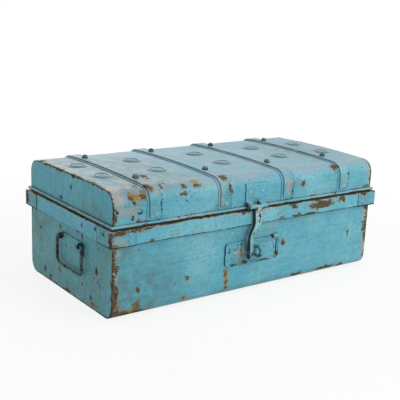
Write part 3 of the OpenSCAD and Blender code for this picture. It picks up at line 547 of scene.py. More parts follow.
    def _layers(self) -> bpy.types.NodeTree:
        """Makes the group that lays primer, ochre and rust over paint from their worn fields.

        Returns:
            The group.
        """
        sketch, given = open_group(
            "Worn layers", "Place", "Paint", "Height", "Rust", "Ochre", "Primer", "Stain", "Grime"
        )
        place = given["Place"]
        grain = sketch.noise(place, Grain.CHIP_RIM)
        shake = sketch.times(sketch.minus(grain, 0.5), self.RIM_SHAKE)
        fields = {
            label: sketch.plus(given[label], shake)
            for label in ("Rust", "Ochre", "Primer", "Grime")
        }
        soot = sketch.times(sketch.fade(given["Stain"], -0.1, 0.9), 0.6)
        soot = sketch.times(soot, sketch.fade(sketch.noise(place, Grain.STAIN), 0.25, 0.7))
        dry = sketch.noise(place, Grain.DRY_PRIMER)
        primer_tone = sketch.mix(dry, self.PRIMER_DULL, self.PRIMER_PALE)
        bright = sketch.fade(dry, 0.35, 0.65)
        ochre_tone = sketch.mix(bright, self.OCHRE_DULL, self.OCHRE_BRIGHT)
        rust = sketch.use(self.rust, Place=place)
        primer = sketch.times(sketch.fade(fields["Primer"], 0.0, 0.5), 0.75)
        ochre = sketch.fade(fields["Ochre"], -0.05, 0.42)
        rim = sketch.times(sketch.fade(fields["Rust"], -0.26, -0.04), 0.55)
        bare = sketch.fade(fields["Rust"], -0.05, 0.24)
        # The near-black layer is grime and, where marks call for it, painted shade
        grime_and_shade = sketch.fade(fields["Grime"], -0.1, 0.2)
        tone = given["Paint"]
        for share, laid in (
            (soot, self.SOOT), (primer, primer_tone), (rim, primer_tone),
            (ochre, ochre_tone), (bare, rust["Colour"]), (grime_and_shade, self.GRIME),
        ):
            tone = sketch.mix(share, tone, laid)
        gone = sketch.maths("MAXIMUM", bare, ochre)
        height = sketch.minus(given["Height"], sketch.times(gone, 0.9))
        pits = sketch.times(sketch.times(rust["Height"], gone), 0.5)
        matt = sketch.plus(sketch.times(gone, 0.3), sketch.times(grain, 0.22))
        matt = sketch.plus(matt, self.PAINT_ROUGHNESS)
        return sketch.close(Colour=tone, Height=sketch.plus(height, pits), Roughness=matt)

    def _corner_dirt_and_shade(self) -> bpy.types.NodeTree:
        """Makes the group that darkens sheltered corners, partly as dirt and partly as painted shade.

        Returns:
            The group.
        """
        sketch, given = open_group("Dirt and painted shade in corners", "Place", "Colour", "Dirt", "Amount")
        # Ambient occlusion finds the sheltered corners; the brown laid there is partly dirt and partly
        # painted shade
        shelter = sketch.add("ShaderNodeAmbientOcclusion", samples=self.SHELTER_RAYS)
        shelter.inputs["Distance"].default_value = self.SHELTER_REACH
        uneven = sketch.noise(given["Place"], Grain.CORNER_DIRT)
        low = sketch.plus(sketch.times(uneven, 0.6), 0.52)
        mask = sketch.fade(shelter.outputs["AO"], low, 0.42)
        mask = sketch.times(mask, given["Amount"])
        return sketch.close(Colour=sketch.mix(mask, given["Colour"], given["Dirt"]))

    def _dust(self) -> bpy.types.NodeTree:
        """Makes the group that lays pale dust on faces that look up.

        Returns:
            The group.
        """
        sketch, given = open_group("Dust", "Place", "Normal", "Colour", "Dust", "Amount")
        up = sketch.parts(given["Normal"])[2]
        lie = sketch.fade(up, 0.25, 0.95)
        patch = sketch.noise(given["Place"], Grain.DUST_PATCHES)
        uneven = sketch.plus(sketch.times(sketch.fade(patch, 0.25, 0.75), 0.55), 0.35)
        streak = sketch.noise(sketch.vector("MULTIPLY", given["Place"], self.WIPING), Grain.STROKES)
        wiped = sketch.times(sketch.minus(streak, 0.5), 1.1)
        uneven = sketch.maths("ADD", uneven, wiped, clamp=True)
        cover = sketch.times(lie, uneven)
        cover = sketch.times(cover, given["Amount"])
        return sketch.close(Colour=sketch.mix(cover, given["Colour"], given["Dust"]))

    def _inside(self) -> bpy.types.NodeTree:
        """Makes the group that tells a sheet's inner face from its outer one.

        Returns:
            The group.
        """
        sketch, given = open_group("Inner face", "Place", "Normal", "Middle")
        out = sketch.vector("SUBTRACT", given["Place"], given["Middle"])
        facing = sketch.vector("DOT_PRODUCT", given["Normal"], out)
        return sketch.close(Mask=sketch.maths("LESS_THAN", facing, 0.0))


class EdgeKind(Enum):
    """How the distance to a worn edge is read from a place in the model's frame."""

    ENDS = "ends"
    FOOT = "foot"
    HEAD = "head"
    SEAM = "seam"
    END_OUTLINE = "end outline"
    FRONT_OUTLINE = "front outline"


@dataclass(frozen=True)
class WornEdge:
    """An edge along which the paint chips."""

    kind: EdgeKind
    width: float
    at: float = 0.0
    keep: float = 0.46
    wear: Wear = Wear.RUST
    centre: Tuple[float, float] = (0.0, 0.0)
    half: Tuple[float, float] = (0.0, 0.0)
    corner: float = 0.0

    def distance(self, sketch: Sketch, effects: SharedEffects, place: Socket) -> Socket:
        """Measures the distance to the edge.

        Args:
            sketch: The material's sketch.
            effects: The shared groups.
            place: The place on the surface.

        Returns:
            The distance in metres.
        """
        x, y, z = sketch.parts(place)
        if self.kind is EdgeKind.ENDS:
            return sketch.minus(self.at, sketch.maths("ABSOLUTE", x))
        if self.kind is EdgeKind.FOOT:
            return sketch.minus(z, self.at)
        if self.kind is EdgeKind.HEAD:
            return sketch.minus(self.at, z)
        if self.kind is EdgeKind.SEAM:
            ends = sketch.minus(sketch.maths("ABSOLUTE", x), self.half[0])
            sides = sketch.minus(sketch.maths("ABSOLUTE", y), self.half[1])
            return sketch.maths("ABSOLUTE", sketch.maths("MINIMUM", ends, sides))
        across = y if self.kind is EdgeKind.END_OUTLINE else x
        outline = sketch.use(
            effects.outline,
            Across=sketch.minus(across, self.centre[0]), Up=sketch.minus(z, self.centre[1]),
            Half_width=self.half[0], Half_height=self.half[1], Corner=self.corner,
        )
        return sketch.maths("ABSOLUTE", outline["Distance"])


@dataclass(frozen=True)
class PaintFinish:
    """Old brushed paint on sheet steel, with its chips, rust, dirt and dust, dirt and painted shade in
    sheltered corners, and, where set, painted shade on faces turned towards −X.
    """

    name: str
    paint: Tone
    faded: Tone
    deep: Tone
    brush: Brush = Brush.ALONG
    strokes: float = 0.32
    chips: float = 0.35
    # Strength of the dirt and painted shade in sheltered corners
    dirt_and_shade: float = 0.8
    dust: float = 0.2
    dents: float = 0.5
    # Strength of the painted shade on faces turned towards −X, the side away from the lamps
    left_shade: float = 0.0
    patina: float = 0.38
    drift: float = 1.0
    flecks: float = 0.3
    marks: Tuple[Mark, ...] = ()
    edges: Tuple[WornEdge, ...] = ()
    middle: Optional[Triple] = None

    # The brown laid in sheltered corners is partly dirt and partly painted shade
    DIRT_AND_SHADE = Tone(52, 46, 38)
    DUST = Tone(158, 160, 167)
    # The near-black teal below is the painted shade laid on faces turned towards −X
    LEE = Tone(28, 40, 43)
    INNER = Tone(132, 142, 140)
    INNER_DEEP = Tone(108, 113, 108)
    FLECK_SCALE = (1.7, 1.7, 1.5)
    FLOOR_SPARED = 1.9
    SHEEN = 0.28
    RAGGED_REACH = (0.026, 0.026, 0.026)
    LEE_FROM, LEE_TO = 0.2, 0.65
    EDGE_SEED = (3.7, 1.3, 2.1)
    DENT_DEPTH = 0.004
    SKIN_STRENGTH, SKIN_DEPTH = 0.4, 0.0008

    def material(self, effects: SharedEffects) -> bpy.types.Material:
        """Makes the material.

        Args:
            effects: The shared groups.

        Returns:
            The material.
        """
        made, sketch, shader = open_material(self.name)
        coordinates = sketch.add("ShaderNodeTexCoord")
        place = coordinates.outputs["Object"]
        normal = coordinates.outputs["Normal"]
        paint = sketch.use(
            effects.paint, Place=place, Brush=self.brush.value, Paint=self.paint, Faded=self.faded,
            Deep=self.deep, Strokes=self.strokes, Patina=self.patina, Drift=self.drift,
        )
        colour = paint["Colour"]
        colour = sketch.use(
            effects.dust, Place=place, Normal=normal, Colour=colour, Dust=self.DUST, Amount=self.dust
        )["Colour"]
        if self.middle is not None:
            colour = self._inner(sketch, effects, place, normal, colour)
        fields = self._fields(sketch, effects, place, normal)
        worn = {wear.value: depth for wear, depth in fields.items()}
        layers = sketch.use(effects.layers, Place=place, Paint=colour, Height=paint["Height"], **worn)
        dirt_and_shade = sketch.use(
            effects.corner_dirt_and_shade, Place=place, Colour=layers["Colour"], Dirt=self.DIRT_AND_SHADE, Amount=self.dirt_and_shade
        )
        colour = dirt_and_shade["Colour"]
        # Painted shade: faces turned towards −X are darkened as if they were in shadow
        if self.left_shade > 0.0:
            left = sketch.times(sketch.parts(normal)[0], -1.0)
            shade = sketch.times(sketch.fade(left, self.LEE_FROM, self.LEE_TO), self.left_shade)
            colour = sketch.mix(shade, colour, self.LEE)
        sketch.feed(shader.inputs["Base Color"], colour)
        sketch.feed(shader.inputs["Roughness"], layers["Roughness"])
        shader.inputs["Specular IOR Level"].default_value = self.SHEEN
        self._relief(sketch, shader, place, layers["Height"])
        return made

    def _inner(
        self, sketch: Sketch, effects: SharedEffects, place: Socket, normal: Socket, colour: Socket
    ) -> Socket:
        """Paints a sheet's inner face in a dull grey of its own.

        Args:
            sketch: The material's sketch.
            effects: The shared groups.
            place: The place on the surface.
            normal: The surface's own direction.
            colour: The colour of the outer face.

        Returns:
            The colour of both faces.
        """
        cloud = sketch.noise(place, Grain.INNER_CLOUDS)
        dull = sketch.mix(sketch.fade(cloud, 0.25, 0.75), self.INNER, self.INNER_DEEP)
        mask = sketch.use(effects.inside, Place=place, Normal=normal, Middle=self.middle)
        return sketch.mix(mask["Mask"], colour, dull)

    def _fields(
        self, sketch: Sketch, effects: SharedEffects, place: Socket, normal: Socket
    ) -> Dict[Wear, Feed]:
        """Gathers the worn fields from the marks, the edges and the stray chips.

        Args:
            sketch: The material's sketch.
            effects: The shared groups.
            place: The place on the surface.
            normal: The surface's own direction.

        Returns:
            A field for each kind of wear, above zero where the paint is worn.
        """
        fields: Dict[Wear, Feed] = {wear: -1.0 for wear in Wear}
        ragged = sketch.use(effects.ragged, Place=place, Reach=self.RAGGED_REACH)["Place"]
        for mark in self.marks:
            fields[mark.wear] = sketch.use(
                effects.blot, Field=fields[mark.wear], Place=ragged,
                Centre=mark.centre, Reach=mark.reach, Weight=mark.weight,
            )["Field"]
        for count, edge in enumerate(self.edges):
            seed = tuple(step * count for step in self.EDGE_SEED)
            fields[edge.wear] = sketch.use(
                effects.edge, Field=fields[edge.wear], Place=place, Seed=seed,
                Distance=edge.distance(sketch, effects, place), Width=edge.width, Keep=edge.keep,
            )["Field"]
        if self.middle is not None:
            mask = sketch.use(effects.inside, Place=place, Normal=normal, Middle=self.middle)
            floor = sketch.maths("MAXIMUM", sketch.parts(normal)[2], 0.0)
            floor = sketch.times(floor, mask["Mask"])
            spared = sketch.times(floor, self.FLOOR_SPARED)
            for wear in (Wear.RUST, Wear.GRIME):
                fields[wear] = sketch.minus(fields[wear], spared)
        fields[Wear.RUST] = sketch.use(
            effects.scatter, Field=fields[Wear.RUST], Place=place, Amount=self.chips
        )["Field"]
        fine = sketch.vector("MULTIPLY", place, self.FLECK_SCALE)
        fields[Wear.GRIME] = sketch.use(
            effects.scatter, Field=fields[Wear.GRIME], Place=fine, Amount=self.flecks
        )["Field"]
        return fields

    def _relief(self, sketch: Sketch, shader: bpy.types.Node, place: Socket, height: Socket) -> None:
        """Gives the surface brush marks, chip steps and shallow dents.

        Args:
            sketch: The material's sketch.
            shader: The Principled BSDF.
            place: The place on the surface.
            height: The paint's own relief.
        """
        dents = sketch.bump(sketch.noise(place, Grain.DENTS), self.dents, self.DENT_DEPTH)
        skin = sketch.bump(height, self.SKIN_STRENGTH, self.SKIN_DEPTH)
        sketch.feed(skin.inputs["Normal"], dents.outputs["Normal"])
        sketch.feed(shader.inputs["Normal"], skin.outputs["Normal"])


@dataclass(frozen=True)
class IronFinish:
    """Dark forged iron with rust in its pores and scraps of the trunk's paint."""

    name: str
    iron: Tone = Tone(44, 50, 50)
    scale: Tone = Tone(28, 30, 30)
    paint: Tone = Tone(78, 140, 154)
    painted: float = 0.3
    rusty: float = 0.4

    RUST_FROM, RUST_TO, RUST_GAIN = 0.66, 0.74, 0.3
    PAINT_FROM, PAINT_TO, PAINT_GAIN = 0.66, 0.7, 0.36
    DIRT_AND_SHADE_SHARE = 0.6
    SHINE = 0.55
    ROUGHNESS = 0.4
    PIT_STRENGTH, PIT_DEPTH = 0.45, 0.0006

    def material(self, effects: SharedEffects) -> bpy.types.Material:
        """Makes the material.

        Args:
            effects: The shared groups.

        Returns:
            The material.
        """
        made, sketch, shader = open_material(self.name)
        place = sketch.add("ShaderNodeTexCoord").outputs["Object"]
        broad = sketch.noise(place, Grain.IRON_BROAD)
        fine = sketch.noise(place, Grain.IRON_FINE)
        tone = sketch.mix(sketch.fade(fine, 0.35, 0.65), self.scale, self.iron)
        rust = sketch.use(effects.rust, Place=place)
        spread = sketch.plus(sketch.times(broad, 0.7), sketch.times(fine, 0.3))
        eased = self.RUST_GAIN * self.rusty
        rusted = sketch.fade(spread, self.RUST_FROM - eased, self.RUST_TO - eased)
        tone = sketch.mix(rusted, tone, rust["Colour"])
        scrap = sketch.noise(place, Grain.PAINT_SCRAPS)
        eased = self.PAINT_GAIN * self.painted
        left = sketch.fade(scrap, self.PAINT_FROM - eased, self.PAINT_TO - eased)
        tone = sketch.mix(left, tone, self.paint)
        # Dirt and painted shade in the iron's sheltered corners
        dirt_and_shade = sketch.use(
            effects.corner_dirt_and_shade, Place=place, Colour=tone, Dirt=PaintFinish.DIRT_AND_SHADE, Amount=self.DIRT_AND_SHADE_SHARE
        )
        sketch.feed(shader.inputs["Base Color"], dirt_and_shade["Colour"])
        bare = sketch.minus(1.0, sketch.maths("MAXIMUM", rusted, left))
        sketch.feed(shader.inputs["Metallic"], sketch.times(bare, self.SHINE))
        sketch.feed(shader.inputs["Roughness"], sketch.plus(sketch.times(fine, 0.3), self.ROUGHNESS))
        pitted = sketch.plus(fine, sketch.times(left, 0.5))
        pits = sketch.bump(pitted, self.PIT_STRENGTH, self.PIT_DEPTH)
        sketch.feed(shader.inputs["Normal"], pits.outputs["Normal"])
        return made


class Dresser:
    """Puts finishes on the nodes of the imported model."""

    ROUND_STEPS = 2
    HARD_ANGLE = math.radians(40.0)

    def __init__(self, nodes: Dict[str, bpy.types.Object], effects: SharedEffects) -> None:
        """Keeps the nodes and the shared groups.

        Args:
            nodes: The model's nodes by name.
            effects: The shared groups.
        """
        self.nodes = nodes
        self.effects = effects
        self.bare = set(nodes)

    def dress(
        self, names: Iterable[str], finish: Union[PaintFinish, IronFinish], bevel: float = 0.0
    ) -> None:
        """Gives one finish to some nodes.

        Args:
            names: The nodes to dress.
            finish: The finish to give them.
            bevel: Width of the worn-round edges in metres, or zero for none.
        """
        made = finish.material(self.effects)
        for name in names:
            piece = self.nodes[name]
            piece.data.materials.clear()
            piece.data.materials.append(made)
            if bevel > 0.0:
                self._round(piece, bevel)
            self.bare.discard(name)
            LOG.info("%s wears %s", name, finish.name)

    def _round(self, piece: bpy.types.Object, width: float) -> None:
        """Rounds a piece's hard edges a little.

        Args:
            piece: The piece.
            width: Width of the rounding in metres.
        """
        soft = piece.modifiers.new("Worn edges", "BEVEL")
        soft.width = width
        soft.segments = self.ROUND_STEPS
        soft.limit_method = "ANGLE"
        soft.angle_limit = self.HARD_ANGLE


PAINT_DEEP = Tone(62, 124, 136)
TRUNK_PAINT = (Tone(88, 166, 186), Tone(118, 183, 195), PAINT_DEEP)
END_PAINT = (Tone(84, 164, 174), Tone(110, 180, 188), Tone(54, 104, 110))


@dataclass
class Body:
    """The open tin box: one sheet bent round front, floor and back, and two ends."""

    half_length: float = 0.380
    half_depth: float = 0.194
    height: float = 0.199
    edge_radius: float = 0.026
    strip: float = 0.030
    grime_line: float = 0.003
    marks: Tuple[Mark, ...] = (
        *blots(
            Wear.OCHRE,
            (-338, -190, 12, 46, 28, 11), (-371, -192, 34, 14, 16, 30, 0.8), (-322, -193, 26, 11, 14, 12),
            (-197, -192, 19, 13, 14, 8), (-82, -194, 53, 9, 12, 16), (-81, -194, 31, 8, 12, 16),
            (62, 193, 26, 14, 12, 12), (-318, 194, 50, 10, 12, 18), (310, 192, 20, 26, 14, 11),
        ),
        *blots(
            Wear.RUST,
            (-372, -192, 60, 12, 14, 24, 0.8), (-370, -194, 112, 10, 12, 20, 0.7),
            (-356, -188, 7, 30, 24, 9), (-312, -187, 6, 30, 20, 6), (-83, -194, 52, 4, 12, 10, 0.7),
            (-318, -194, 60, 6, 10, 8), (-191, -194, 64, 6, 10, 7), (-316, -194, 151, 3, 10, 5),
            (310, -194, 96, 4, 10, 12), (-81, -192, 20, 6, 12, 6), (144, -190, 12, 22, 14, 6),
            (234, -190, 13, 38, 14, 6), (295, -190, 11, 16, 14, 5), (376, -194, 104, 7, 10, 16),
            (378, -194, 74, 6, 10, 14), (90, -194, 105, 7, 10, 9), (-224, -194, 56, 2, 10, 6),
            (-376, -190, 18, 14, 14, 10), (66, -194, 83, 6, 14, 10, 1.1), (-250, 190, 12, 34, 14, 8),
            (170, 190, 11, 44, 14, 7), (-122, 194, 85, 7, 10, 10), (238, 194, 108, 6, 10, 12),
            (20, 194, 60, 8, 10, 6),
        ),
        *blots(
            Wear.STAIN,
            (-330, -194, 60, 210, 60, 100), (-360, -194, 130, 60, 60, 60),
            (-330, -190, 16, 110, 40, 22, 1.4), (0, -190, 6, 400, 40, 14),
            (-10, -194, 136, 110, 30, 30, 0.8), (0, 190, 20, 400, 40, 40, 0.9),
            (-290, 194, 80, 140, 40, 100, 0.9), (130, 194, 110, 130, 40, 60, 0.7),
        ),
        *blots(Wear.PRIMER, (48, -194, 146, 30, 20, 16, 0.45), (330, 194, 70, 40, 20, 50, 0.5)),
        # The first grime blot below is painted shade in the lock plate's slot, where the body wall shows
        # through
        *blots(
            Wear.GRIME,
            (66, -194, 106, 6, 14, 18, 1.1), (104, 194, 138, 5, 10, 6), (-214, 194, 126, 4, 10, 8),
        ),
    )
    end_marks: Tuple[Mark, ...] = (
        *blots(
            Wear.GRIME,
            (-380, 68, 165, 10, 6, 6), (-380, -44, 162, 10, 5, 8), (-380, 40, 146, 10, 4, 6),
            (-380, -65, 153, 10, 4, 10), (-380, 120, 22, 10, 6, 7), (-380, 93, 11, 10, 8, 6),
            (-380, -104, 25, 10, 5, 7), (-380, -128, 96, 10, 4, 9), (380, 62, 150, 10, 5, 7),
            (380, -98, 140, 10, 5, 6), (380, 20, 30, 10, 6, 6),
        ),
        *blots(
            Wear.RUST,
            (-380, -128, 93, 10, 8, 12), (-380, 68, 164, 10, 8, 7), (-380, 144, 119, 10, 6, 4),
            (-380, 3, 6, 10, 13, 6), (380, 122, 82, 10, 8, 11), (380, -110, 36, 10, 9, 8),
            (380, 40, 6, 10, 30, 6),
        ),
        *blots(
            Wear.OCHRE,
            (-380, -114, 11, 10, 18, 8), (-380, 43, 43, 10, 14, 6), (380, 104, 13, 10, 20, 9),
            (380, -150, 90, 10, 8, 12),
        ),
        *blots(
            Wear.STAIN,
            (-380, -120, 60, 60, 120, 90, 0.6), (-380, 100, 30, 60, 120, 50, 0.7),
            (-380, -160, 150, 60, 60, 50, 0.7), (-380, 150, 120, 60, 80, 100, 0.9),
            (380, -110, 80, 60, 110, 80, 0.7), (380, 120, 50, 60, 110, 70, 0.8),
        ),
    )

    def dress(self, dresser: Dresser) -> None:
        """Paints the box.

        Args:
            dresser: Where finishes are put on.
        """
        middle = (0.0, 0.0, self.height / 2.0)
        outline = {
            "centre": (0.0, self.height), "half": (self.half_depth, self.height), "corner": self.edge_radius
        }
        dresser.dress(
            ["body_wrap"],
            PaintFinish(
                "Body paint", *TRUNK_PAINT,
                dirt_and_shade=0.5, marks=self.marks,
                edges=(
                    WornEdge(EdgeKind.ENDS, 0.040, at=self.half_length, keep=0.455),
                    WornEdge(EdgeKind.FOOT, 0.010, keep=0.43),
                    WornEdge(EdgeKind.ENDS, self.strip, at=self.half_length, keep=0.40, wear=Wear.PRIMER),
                    WornEdge(EdgeKind.ENDS, self.strip, at=self.half_length, keep=0.44, wear=Wear.OCHRE),
                    WornEdge(EdgeKind.ENDS, 0.004, at=self.half_length, keep=0.44, wear=Wear.GRIME),
                    WornEdge(EdgeKind.FOOT, 0.005, at=self.grime_line, keep=0.40, wear=Wear.GRIME),
                ),
                middle=middle,
            ),
        )
        dresser.dress(
            ["body_end_left", "body_end_right"],
            PaintFinish(
                "Body end paint", *END_PAINT,
                brush=Brush.DOWN, strokes=0.5, drift=2.8, patina=0.6, flecks=0.75,
                marks=self.end_marks,
                edges=(
                    WornEdge(EdgeKind.END_OUTLINE, 0.016, keep=0.46, **outline),
                    WornEdge(EdgeKind.END_OUTLINE, 0.006, keep=0.40, wear=Wear.GRIME, **outline),
                ),
                middle=middle,
            ),
        )


@dataclass
class Collar:
    """The folded collar round the body's top edge, its corner plates, and the lip inside it."""

    foot: float = 0.165
    head: float = 0.199
    seam: Tuple[float, float] = (0.3302, 0.1442)
    lip_rise: float = 0.010
    corner_marks: Tuple[Mark, ...] = (
        *blots(Wear.RUST, (-390, -204, 184, 8, 10, 22), (-389, 194, 182, 10, 10, 18)),
        *blots(Wear.GRIME, (-390, -204, 174, 5, 6, 12), (-389, -172, 190, 10, 5, 6)),
        *blots(Wear.OCHRE, (-386, -204, 168, 16, 14, 5), (-362, -204, 169, 14, 14, 4)),
        *blots(Wear.PRIMER, (-370, -204, 180, 40, 20, 22, 0.45)),
    )
    marks: Tuple[Mark, ...] = (
        *blots(
            Wear.RUST,
            (202, -203, 186, 22, 18, 5.5, 1.9), (112, -203, 191, 12, 20, 6), (-41, -203, 198, 12, 20, 6),
            (123, -203, 169, 16, 20, 5), (164, -203, 166, 32, 20, 4), (271, -203, 191, 14, 20, 8),
            (347, -203, 195, 12, 20, 9), (-290, -203, 168, 6, 20, 3), (-368, -203, 195, 18, 20, 6),
            (-333, -203, 196, 22, 20, 5), (-296, -203, 196, 18, 20, 4), (148, 203, 190, 20, 18, 6),
            (-226, 203, 194, 16, 18, 5), (20, 203, 168, 20, 18, 4), (389, 72, 192, 14, 16, 6),
        ),
        *blots(
            Wear.GRIME,
            (-389, -78, 183, 10, 5, 6), (-389, -137, 190, 10, 6, 6), (389, -90, 182, 10, 6, 6),
        ),
        *blots(Wear.OCHRE, (73, -203, 169, 9, 20, 5, 0.9), (-60, 203, 172, 12, 18, 6)),
    )

    def dress(self, dresser: Dresser) -> None:
        """Paints the collar and the lip.

        Args:
            dresser: Where finishes are put on.
        """
        sides = ["front", "right", "back", "left"]
        corners = ["front_left", "front_right", "back_left", "back_right"]
        edges = (
            WornEdge(EdgeKind.HEAD, 0.007, at=self.head, keep=0.45),
            # Painted shadow: a thin dark line along the collar's lower edge, under its overhang
            WornEdge(EdgeKind.FOOT, 0.0025, at=self.foot, keep=0.33, wear=Wear.GRIME),
            WornEdge(EdgeKind.HEAD, 0.016, at=self.head, keep=0.44, wear=Wear.PRIMER),
        )
        tones = (Tone(94, 171, 190), Tone(124, 187, 199), Tone(66, 128, 140))
        finish = PaintFinish("Collar paint", *tones, flecks=0.4, marks=self.marks, edges=edges)
        dresser.dress(["collar_front", "collar_back"], finish)
        # The same painted shadow line under the collar's lower edge, fainter on the ends
        foot_shadow_line = WornEdge(EdgeKind.FOOT, 0.0025, at=self.foot, keep=0.45, wear=Wear.GRIME)
        thin = WornEdge(EdgeKind.HEAD, 0.004, at=self.head, keep=0.49)
        ends = PaintFinish(
            "Collar end paint", Tone(84, 182, 202), Tone(110, 196, 214), Tone(56, 114, 126),
            strokes=0.36, drift=1.8, dirt_and_shade=0.7, flecks=0.6, marks=self.marks, edges=(thin, foot_shadow_line, edges[2]),
        )
        dresser.dress(["collar_left", "collar_right"], ends)
        seam = WornEdge(EdgeKind.SEAM, 0.0018, keep=0.37, wear=Wear.GRIME, half=self.seam)
        plate = PaintFinish(
            "Corner plate paint", Tone(84, 162, 178), Tone(112, 178, 188), Tone(56, 112, 120),
            chips=0.6, flecks=0.8, marks=self.marks + self.corner_marks, edges=edges + (seam,),
        )
        dresser.dress([f"collar_corner_{corner}" for corner in corners], plate)
        rivets = PaintFinish("Rivet paint", Tone(92, 168, 184), Tone(128, 188, 198), PAINT_DEEP, chips=0.6)
        dresser.dress(["collar_corner_rivets"], rivets)
        lip = PaintFinish(
            "Lip steel", Tone(120, 130, 128), Tone(150, 158, 156), Tone(80, 82, 76),
            chips=0.9, edges=(WornEdge(EdgeKind.HEAD, 0.005, at=self.head + self.lip_rise),),
        )
        dresser.dress([f"lip_{side}" for side in sides], lip)


@dataclass
class LockSet:
    """The lock plate with its slot and staple, and the backing behind it."""

    centre: Tuple[float, float] = (-0.005, 0.098)
    half: Tuple[float, float] = (0.082, 0.028)
    corner: float = 0.009
    # How far the painted-shade outline is moved up and to the right, off the plate's top and right edges
    shade_shift: float = 0.020
    staple_rounding: float = 0.0008
    marks: Tuple[Mark, ...] = (
        *blots(
            Wear.PRIMER,
            (-35, -197, 100, 16, 12, 12, 0.7), (-50, -197, 100, 40, 14, 30, 0.5),
            (62, -200, 127, 14, 12, 6, 0.8),
        ),
        *blots(Wear.STAIN, (-28, -197, 78, 44, 14, 30, 1.2), (13, -197, 120, 20, 12, 14)),
        *blots(
            Wear.RUST,
            (-30, -197, 74, 13, 12, 5, 0.9), (66, -197, 79, 7, 10, 8), (-40, -197, 120, 4, 10, 6),
        ),
        # Of the grime blots below, the two low lines are painted shade along the plate's lower edge and the
        # last is painted shade in the knuckle's open end
        *blots(
            Wear.GRIME,
            (-60, -197, 71, 16, 12, 2.5, 0.9), (30, -197, 71, 30, 12, 2.5, 0.9),
            (-74, -197, 107, 3, 12, 5, 0.8), (52, -199, 126, 4, 12, 7),
        ),
        *blots(Wear.OCHRE, (-40, -197, 104, 3, 10, 20)),
    )

    def dress(self, dresser: Dresser) -> None:
        """Paints the lock.

        Args:
            dresser: Where finishes are put on.
        """
        plate = PaintFinish(
            "Lock plate paint", *TRUNK_PAINT,
            dirt_and_shade=0.6, chips=0.5, left_shade=1.0, patina=0.75, drift=1.8, flecks=0.8,
            marks=self.marks,
            edges=(
                # Painted shade: a dark line along the plate's left and lower edges; the outline is moved up
                # and to the right so that its other two sides fall off the plate
                WornEdge(
                    EdgeKind.FRONT_OUTLINE, 0.003, keep=0.44, wear=Wear.GRIME, corner=self.corner,
                    centre=(self.centre[0] + self.shade_shift, self.centre[1] + self.shade_shift),
                    half=(self.half[0] + self.shade_shift, self.half[1] + self.shade_shift),
                ),
            ),
        )
        dresser.dress(["lock_plate"], plate)
        # The pale tones of the lock rivets are partly their own pale paint and partly a painted highlight
        # on their domes
        rivets = PaintFinish(
            "Lock rivet paint and painted highlight", Tone(120, 182, 198), Tone(176, 200, 210), PAINT_DEEP, chips=0.5
        )
        dresser.dress(["lock_rivets"], rivets)
        backing = PaintFinish(
            "Backing steel", Tone(110, 116, 112), Tone(140, 146, 142), Tone(74, 70, 62), chips=1.0
        )
        dresser.dress(["lock_backing"], backing)
        staple = IronFinish("Staple iron", painted=0.6)
        dresser.dress(["padlock_staple"], staple, bevel=self.staple_rounding)


@dataclass
class Handles:
    """The two bail handles on the ends."""

    sides: Tuple[str, str] = ("left", "right")

    def dress(self, dresser: Dresser) -> None:
        """Dresses plates, eyes, rivets and bails.

        Args:
            dresser: Where finishes are put on.
        """
        plate = PaintFinish(
            "Handle plate paint", *END_PAINT, dirt_and_shade=1.0, chips=0.45
        )
        dresser.dress([f"handle_{side}_plate" for side in self.sides], plate)
        dresser.dress([f"handle_{side}_rivets" for side in self.sides], plate)
        eyes = IronFinish("Handle eye iron", painted=0.5)
        dresser.dress([f"handle_{side}_eyes" for side in self.sides], eyes)
        bail = IronFinish(
            "Bail iron", iron=Tone(22, 32, 32), paint=Tone(66, 94, 97), painted=0.5, rusty=0.2
        )
        dresser.dress([f"handle_{side}_bail" for side in self.sides], bail)


@dataclass
class Hinges:
    """The two knuckle hinges on the back."""

    sides: Tuple[str, str] = ("left", "right")

    def dress(self, dresser: Dresser) -> None:
        """Paints the leaves and leaves the pins as iron.

        Args:
            dresser: Where finishes are put on.
        """
        leaf = PaintFinish("Hinge paint", *TRUNK_PAINT, dirt_and_shade=1.0, chips=0.6)
        leaves = [f"hinge_{side}_{part}_leaf" for side in self.sides for part in ("body", "lid")]
        dresser.dress(leaves, leaf)
        dresser.dress(["hinge_body_rivets", "hinge_lid_rivets"], leaf)
        dresser.dress([f"hinge_{side}_pin" for side in self.sides], IronFinish("Hinge pin iron", rusty=0.6))


